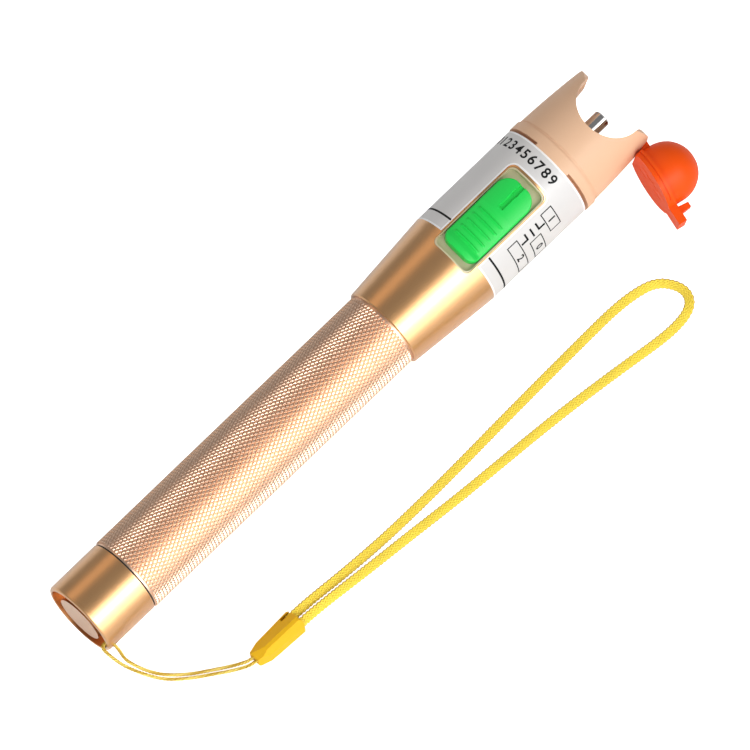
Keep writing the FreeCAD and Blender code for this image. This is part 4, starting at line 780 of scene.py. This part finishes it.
def ribbon(path, width, height, closed=False):
    """A flat strip along a path on the unrolled label: its corners and faces."""
    points = [Vector(p) for p in path]
    if closed:
        points.append(points[0])
    fine = [points[0]]
    for before, after in zip(points, points[1:]):
        pieces = max(int((after - before).length / ROLL_STEP), 1)
        fine += [before.lerp(after, (n + 1) / pieces) for n in range(pieces)]
    if closed:
        fine.pop()
    count = len(fine)
    corners = []
    for number, point in enumerate(fine):
        before = fine[(number - 1) % count] if closed or number else point
        after = fine[(number + 1) % count] if closed or number < count - 1 else point
        first = (point - before).normalized() if before != point else (after - point).normalized()
        second = (after - point).normalized() if after != point else first
        aside = Vector((-(first + second).y, (first + second).x)).normalized()
        reach = width / 2 / max(aside.dot(Vector((-second.y, second.x))), MITRE_LIMIT)
        for side, level in ((1, 0), (-1, 0), (-1, 1), (1, 1)):
            corners.append((*(point + aside * side * reach), level * height))
    faces = []
    for number in range(count if closed else count - 1):
        a = 4 * number
        b = 4 * ((number + 1) % count)
        faces += [(a + k, a + (k + 1) % 4, b + (k + 1) % 4, b + k) for k in range(4)]
    if not closed:
        last = 4 * (count - 1)
        faces += [(3, 2, 1, 0), (last, last + 1, last + 2, last + 3)]
    return corners, faces


def flat_mesh(name, strips):
    """One mesh of several strips."""
    vertices = []
    faces = []
    for corners, some in strips:
        first = len(vertices)
        vertices += corners
        faces += [tuple(first + i for i in face) for face in some]
    return mesh_object(name, vertices, faces)


def digits(text, height, across, along, film, weight):
    """Plain digits as a flat mesh, cut into narrow bands so that it can be rolled."""
    deselect_all()
    bpy.ops.object.text_add()
    obj = bpy.context.object
    obj.data.body = text
    obj.data.size = height / LETTER_SHARE
    obj.data.align_x = "CENTER"
    obj.data.align_y = "CENTER"
    obj.data.extrude = film / 2
    obj.data.offset = weight
    bpy.ops.object.convert(target="MESH")
    for vertex in obj.data.vertices:
        vertex.co += Vector((across, along, film / 2))
    bpy.ops.object.mode_set(mode="EDIT")
    reach = max(abs(v.co.x - across) for v in obj.data.vertices)
    bands = int(2 * reach / ROLL_STEP)
    for number in range(1, bands):
        cut = across - reach + 2 * reach * number / bands
        bpy.ops.mesh.select_all(action="SELECT")
        bpy.ops.mesh.bisect(plane_co=(cut, 0, 0), plane_no=(1, 0, 0))
    object_mode()
    return obj


def roll_on(obj, radius):
    """Rolls a flat mesh onto the label: across from the switch's middle, along the pen."""
    for vertex in obj.data.vertices:
        angle = vertex.co.x / radius
        reach = radius + vertex.co.z - SINK
        vertex.co = (reach * sin(angle), -reach * cos(angle), vertex.co.y)
    face_outwards(obj)
    settle(obj, PEN)


def box_path(low, high):
    return [(low[0], low[1]), (high[0], low[1]), (high[0], high[1]), (low[0], high[1])]


class LOCATOR_OT_label(bpy.types.Operator):
    """Prints the black lines and the boxed digits on the label, and paints highlights along its edges"""

    bl_idname = "locator.label"
    bl_label = "Label print"

    def execute(self, context):
        sizes = settings("locator_label")
        arc = radians(1) * sizes.radius
        stroke, outline, film = sizes.stroke, sizes.outline, sizes.film
        edge = sizes.opening_width + outline
        ring = RING_LINE * MM
        strips = [ribbon([(edge, ring), (360 * arc - edge, ring)], stroke, film)]
        for low, high in BOXES:
            corners = box_path((low[0] * arc, low[1] * MM), (high[0] * arc, high[1] * MM))
            strips.append(ribbon(corners, outline, film, closed=True))
        for path in TICKS:
            strips.append(ribbon([(a * arc, z * MM) for a, z in path], stroke, film))
        marks = flat_mesh("label marks", strips)
        parts = []
        for (low, high), text in zip(BOXES, BOX_DIGITS):
            middle = ((low[0] + high[0]) / 2 * arc, (low[1] + high[1]) / 2 * MM)
            parts.append(digits(text, sizes.digit_height, *middle, film, sizes.weight))
        for number in range(SCALE_DIGITS):
            across = (SCALE_LAST - SCALE_STEP * (SCALE_DIGITS - 1 - number)) * arc
            along = SCALE_PLACE * MM
            parts.append(digits(str(number), sizes.scale_height, across, along, film, sizes.weight))
        pick(marks)
        for part in parts:
            part.select_set(True)
        bpy.ops.object.join()
        roll_on(marks, sizes.radius)
        ink = surface("black print", INK, 0.6, 0.0, 0.02, MEDIUM, 0.02, Specular_IOR_Level=0.2)
        finish_piece(marks, "label_print", "barrel", "label_film", ink)
        self.white_edges(sizes)
        return {"FINISHED"}

    def white_edges(self, sizes):
        """Painted highlights along the film's edges, round the opening and at both ends of the film."""
        width = sizes.edge_width
        side = sizes.opening_width + width / 2
        bend = sizes.opening_corner
        top = sizes.opening_end + width / 2 - bend
        path = [(-side, sizes.start)]
        for turn in range(0, 91, 15):
            angle = radians(turn)
            path.append((-side + bend - bend * cos(angle), top + bend * sin(angle)))
        path += [(-u, z) for u, z in reversed(path)]
        round_length = 2 * pi * sizes.radius
        head = sizes.end - width / 2
        tail = sizes.start + width / 2
        ring = [(HEAD_START * round_length, head), (HEAD_END * round_length, head)]
        rim = [(side + width, tail), (round_length - side - width, tail)]
        edges = flat_mesh("label edges", [ribbon(p, width, sizes.film / 2) for p in (path, ring, rim)])
        roll_on(edges, sizes.radius)
        # White strips: painted highlight along the film's cut edges.
        white = surface("film edge painted highlight", PAPER, 0.35, 0.0, 0.02, MEDIUM, 0.01)
        finish_piece(edges, "label_edges", "barrel", "label_film", white)


# ---- switch knob


def knob_outline(sizes, height):
    """Half the knob's width at a height, and the distance from there to its nearer end."""
    low, high = sizes.start, sizes.start + sizes.length
    half = sizes.width / 2
    for end, corner in ((height - low, sizes.tail_corner), (high - height, sizes.head_corner)):
        if end < corner:
            half = sizes.width / 2 - corner + sqrt(max(corner ** 2 - (corner - end) ** 2, 0))
            break
    return half, min(height - low, high - height)


KNOB_GRID = (56, 220)  # corners of the knob's top across and along the pen
CROWD_ENDS = 0.25  # share of the spacing that draws the corners towards the knob's ends
CROWD_SIDES = 0.35  # and towards its sides
GROOVE_SNAP = 0.09 * MM  # corners nearer than this to a side of the groove move onto it
GROOVE_INSIDE = 0.001 * MM  # corners on the side itself stay at the top
RIDGE_RUN = 0.3 * MM  # length in which a ridge rises at its ends


def in_groove(sizes, height):
    return height > sizes.start + sizes.length - sizes.groove_length


def knob_relief(sizes, across, height):
    """How far the knob's top lies below its arch: groove, finger rest, ridges and round edges."""
    half, end = knob_outline(sizes, height)
    drop = 0.0
    edge = min(half - abs(across), end)
    if edge < sizes.edge:
        drop = sizes.edge - sqrt(max(sizes.edge ** 2 - (sizes.edge - max(edge, 0)) ** 2, 0))
    rest_low, rest_high = sizes.start + sizes.rest_start, sizes.start + sizes.rest_end
    into = min(height - rest_low, rest_high - height) / sizes.rest_slope
    share = min(max(into, 0.0), 1.0)
    drop += sizes.rest_depth * share * share * (3 - 2 * share)
    for number in range(sizes.ridges):
        place = (rest_low + rest_high) / 2 + sizes.ridge_pitch * (number - (sizes.ridges - 1) / 2)
        off = abs(height - place) / (sizes.ridge_width / 2)
        side = min(max((sizes.ridge_length / 2 - abs(across)) / RIDGE_RUN, 0.0), 1.0)
        if off < 1:
            drop -= sizes.ridge_height * side * cos(off * pi / 2)
    if in_groove(sizes, height) and abs(across) < sizes.groove_width / 2 - GROOVE_INSIDE:
        drop += sizes.groove_depth
    return drop


class LOCATOR_OT_knob(bpy.types.Operator):
    """Models the sliding knob with its pointer groove and five grip ridges"""

    bl_idname = "locator.knob"
    bl_label = "Switch knob"

    def execute(self, context):
        sizes = settings("locator_knob")
        deselect_all()
        bpy.ops.mesh.primitive_grid_add(
            x_subdivisions=KNOB_GRID[0], y_subdivisions=KNOB_GRID[1], size=1.0
        )
        knob = context.object
        self.shape_top(knob.data, sizes)
        self.close_underside(knob, sizes)
        face_outwards(knob)
        bpy.ops.object.shade_smooth_by_angle(angle=radians(35))
        apply_modifiers(knob)
        settle(knob, PEN)
        finish_piece(knob, "sliding_knob", "switch", "green_plastic", knob_plastic())
        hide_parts("switch_knob")
        return {"FINISHED"}

    def shape_top(self, mesh, sizes):
        """Lays a flat grid of size 1 over the knob's arched top."""
        for vertex in mesh.vertices:
            along = vertex.co.y + 0.5
            share = 0.5 - 0.5 * cos(pi * along)
            height = sizes.start + sizes.length * (CROWD_ENDS * share + (1 - CROWD_ENDS) * along)
            half, _end = knob_outline(sizes, height)
            crowded = sin(pi * vertex.co.x) / 2
            across = 2 * half * (CROWD_SIDES * crowded + (1 - CROWD_SIDES) * vertex.co.x)
            if in_groove(sizes, height) and abs(abs(across) - sizes.groove_width / 2) < GROOVE_SNAP:
                across = copysign(sizes.groove_width / 2, across)
            top = sqrt(sizes.radius ** 2 - across ** 2) - knob_relief(sizes, across, height)
            vertex.co = (across, -top, height)

    def close_underside(self, knob, sizes):
        """Runs the knob's sides down to its flat underside and closes it."""
        select_open_edges(knob)
        bpy.ops.mesh.extrude_edges_move()
        object_mode()
        for vertex in knob.data.vertices:
            if vertex.select:
                vertex.co.y = -sizes.underside
        bpy.ops.object.mode_set(mode="EDIT")
        bpy.ops.mesh.edge_face_add()
        object_mode()


# ---- cords


STRAP_STEP = 0.16 * MM  # distance between the points along the strap
STRING_STEP = 0.12 * MM  # and along the thin cord
YARN_SIDES = 6
STRING_STRANDS = 3
FLOOR_GAP = 0.03 * MM  # left between the strap's lower edge and the floor
YARN_TURN = 0.94  # where a yarn of the braid turns back, as a share of its reach
YARN_LIFT = 1.3  # how much fuller the braid's weave is than its flat thickness
LEAN_HALVINGS = 24
WORLD_UP = Vector((0, 0, 1))


def braid_lines(points, sizes):
    """The yarns of a flat braid: each crosses from edge to edge, over and under the others."""
    half = sizes.strap_width / 2 - sizes.yarn_radius
    lift = (sizes.strap_thickness / 2 - sizes.yarn_radius) * YARN_LIFT
    strands = sizes.braid_strands
    lines = [[] for _ in range(strands)]
    for (point, along, _side, _up), travelled in zip(path_frames(points), distances_along(points)):
        flat_side = along.cross(WORLD_UP).normalized()
        rise = min(max(point.z - FLOOR_GAP, 0.0), sizes.strap_width / 2)
        lean = lean_for(rise, sizes) * flat_side.dot(RAISED_SIDE)
        wide = flat_side * cos(lean) + WORLD_UP * sin(lean)
        thin = wide.cross(along).normalized()
        cycle = travelled / sizes.braid_period
        for strand in range(strands):
            phase = (cycle + strand / strands) % 1.0
            across = 1 - 4 * abs(phase - 0.5)
            across = copysign(min(abs(across), YARN_TURN), across)
            over = sin(2 * pi * phase) * cos(2 * pi * strands * cycle)
            lines[strand].append(point + wide * across * half + thin * over * lift)
    return lines


def twisted_lines(points, sizes, radius):
    """The strands of the thin cord, each winding round its middle line."""
    reach = sizes.string_diameter / 2 - radius
    lines = [[] for _ in range(STRING_STRANDS)]
    for (point, _along, side, up), travelled in zip(path_frames(points), distances_along(points)):
        for strand in range(STRING_STRANDS):
            angle = 2 * pi * (travelled / sizes.string_pitch + strand / STRING_STRANDS)
            offset = (side * cos(angle) + up * sin(angle)) * reach
            lines[strand].append(point + offset)
    return lines


def lean_for(rise, sizes):
    """How far the flat strap stands up from lying flat when its middle is this high."""
    low, high = 0.0, pi / 2
    for _ in range(LEAN_HALVINGS):
        middle = (low + high) / 2
        height = sizes.strap_width / 2 * sin(middle) + sizes.strap_thickness / 2 * cos(middle)
        if height < rise:
            low = middle
        else:
            high = middle
    return low


class LOCATOR_OT_strap(bpy.types.Operator):
    """Braids the flat wrist strap along its route"""

    bl_idname = "locator.strap"
    bl_label = "Wrist strap"

    def execute(self, context):
        sizes = settings("locator_cords")
        tone = settings("locator_finishes")
        points = route_points("strap route", STRAP_ROUTE, STRAP_STEP)
        strap = yarn_mesh("strap", braid_lines(points, sizes), sizes.yarn_radius)
        yarn = yarn_finish("braided yarn", tone.strap, tone.strap_shade)
        finish_piece(strap, "wrist_strap", "tail_cap", "braid_yellow", yarn)
        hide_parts("wrist_loop")
        return {"FINISHED"}


class LOCATOR_OT_string(bpy.types.Operator):
    """Twists the thin cord through the rim of the tail cap"""

    bl_idname = "locator.string"
    bl_label = "Thin cord"

    def execute(self, context):
        sizes = settings("locator_cords")
        tone = settings("locator_finishes")
        points = route_points("string route", STRING_ROUTE, STRING_STEP)
        radius = sizes.string_diameter / 4
        cord = yarn_mesh("string", twisted_lines(points, sizes, radius), radius)
        yarn = yarn_finish("twisted yarn", tone.string, tone.string_shade)
        finish_piece(cord, "thin_cord", "tail_cap", "string_yellow", yarn)
        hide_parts("lanyard_string")
        return {"FINISHED"}


# ---- stage


class LOCATOR_OT_stage(bpy.types.Operator):
    """Adds the floor, the soft lights and the camera"""

    bl_idname = "locator.stage"
    bl_label = "Stage"

    def execute(self, context):
        deselect_all()
        bpy.ops.mesh.primitive_plane_add(size=FLOOR_SIZE, location=(0, 0, -FLOOR_DROP))
        floor = context.object
        floor.name = "floor"
        paper = bpy.data.materials.new("white paper")
        paper.use_nodes = True
        shader = paper.node_tree.nodes["Principled BSDF"]
        set_inputs(shader, {
            "Base Color": (*PAPER, 1.0), "Roughness": 0.9, "Emission Color": (*WHITE, 1.0),
        })
        seen = paper.node_tree.nodes.new("ShaderNodeLightPath")
        connect(paper.node_tree, (seen, "Is Camera Ray", shader, "Emission Strength"))
        floor.data.materials.append(paper)
        self.add_camera(context)
        self.add_lights(context)
        return {"FINISHED"}

    def axes(self):
        """The camera's right, up and backward directions, and across the pen, in the pen's frame."""
        tilt, lean, turn = (radians(d) for d in (CAMERA_TILT, CAMERA_LEAN, CAMERA_TURN))
        front = Vector((sin(lean), -cos(lean), 0))
        towards = front * cos(tilt) - Vector((0, 0, 1)) * sin(tilt)
        head = Vector((0, 0, 1)) * cos(tilt) + front * sin(tilt)
        across = Vector((cos(lean), sin(lean), 0))
        right = head * cos(turn) + across * sin(turn)
        up = head * sin(turn) - across * cos(turn)
        return right, up, towards, across

    def add_camera(self, context):
        sizes = settings("locator_stage")
        right, up, towards, _across = self.axes()
        middle = right * CAMERA_AIM[0] + up * CAMERA_AIM[1]
        turn = PEN.to_3x3()
        data = bpy.data.cameras.new("camera")
        data.lens = data.sensor_width * sizes.distance / sizes.view_width
        data.clip_end = 40.0
        camera = link_new("camera", data)
        place = PEN @ (middle + towards * sizes.distance)
        basis = Matrix((turn @ right, turn @ up, turn @ towards)).transposed().to_4x4()
        camera.matrix_world = Matrix.Translation(place) @ basis
        context.scene.camera = camera

    def add_lights(self, context):
        """Soft boxes round the camera, parallel to the pen, and an even grey world."""
        _right, _up, towards, across = self.axes()
        turn = PEN.to_3x3()
        middle = PEN @ Vector((0, 0, 0.1))
        for name, (degrees, width, length, radiance, colour, diffuse, glossy) in LIGHTS.items():
            angle = radians(degrees)
            away = (turn @ (towards * cos(angle) + across * sin(angle))).normalized()
            along = (turn @ Vector((0, 0, 1))).normalized()
            along = (along - away * along.dot(away)).normalized()
            data = bpy.data.lights.new(name, "AREA")
            data.shape = "RECTANGLE"
            data.size = width
            data.size_y = length
            data.energy = radiance * pi * width * length
            data.color = colour
            lamp = link_new(name, data)
            lamp.visible_diffuse = diffuse
            lamp.visible_glossy = glossy
            basis = Matrix((along.cross(away), along, away)).transposed().to_4x4()
            lamp.matrix_world = Matrix.Translation(middle + away * LIGHT_DISTANCE) @ basis
        world = context.scene.world or bpy.data.worlds.new("studio")
        context.scene.world = world
        world.use_nodes = True
        set_inputs(world.node_tree.nodes["Background"], {"Color": (*WHITE, 1.0), "Strength": SKY})
        context.scene.view_settings.view_transform = "Standard"


class LOCATOR_PT_panel(bpy.types.Panel):
    """Lists the pieces of the locator"""

    bl_idname = "LOCATOR_PT_panel"
    bl_label = "Visual Fault Locator"
    bl_space_type = "VIEW_3D"
    bl_region_type = "UI"
    bl_category = "Locator"

    def draw(self, context):
        for kind in OPERATORS:
            self.layout.operator(kind.bl_idname)
        for name in GROUPS:
            box = self.layout.box()
            group = getattr(context.scene, name)
            for prop in group.__annotations__:
                box.prop(group, prop)


OPERATORS = (
    LOCATOR_OT_stage,
    LOCATOR_OT_grip,
    LOCATOR_OT_label,
    LOCATOR_OT_knob,
    LOCATOR_OT_strap,
    LOCATOR_OT_string,
    LOCATOR_OT_finishes,
)
GROUPS = {
    "locator_cords": LocatorCords,
    "locator_grip": LocatorGrip,
    "locator_label": LocatorLabel,
    "locator_knob": LocatorKnob,
    "locator_finishes": LocatorFinishes,
    "locator_stage": LocatorStage,
}


def register():
    for name, kind in GROUPS.items():
        bpy.utils.register_class(kind)
        setattr(bpy.types.Scene, name, PointerProperty(type=kind))
    for kind in OPERATORS + (LOCATOR_PT_panel,):
        bpy.utils.register_class(kind)


def unregister():
    for kind in reversed(OPERATORS + (LOCATOR_PT_panel,)):
        bpy.utils.unregister_class(kind)
    for name, kind in GROUPS.items():
        delattr(bpy.types.Scene, name)
        bpy.utils.unregister_class(kind)


def main():
    register()
    for kind in OPERATORS:
        group, call = kind.bl_idname.split(".")
        getattr(getattr(bpy.ops, group), call)()
    bpy.context.view_layer.update()


if __name__ == "__main__":
    main()
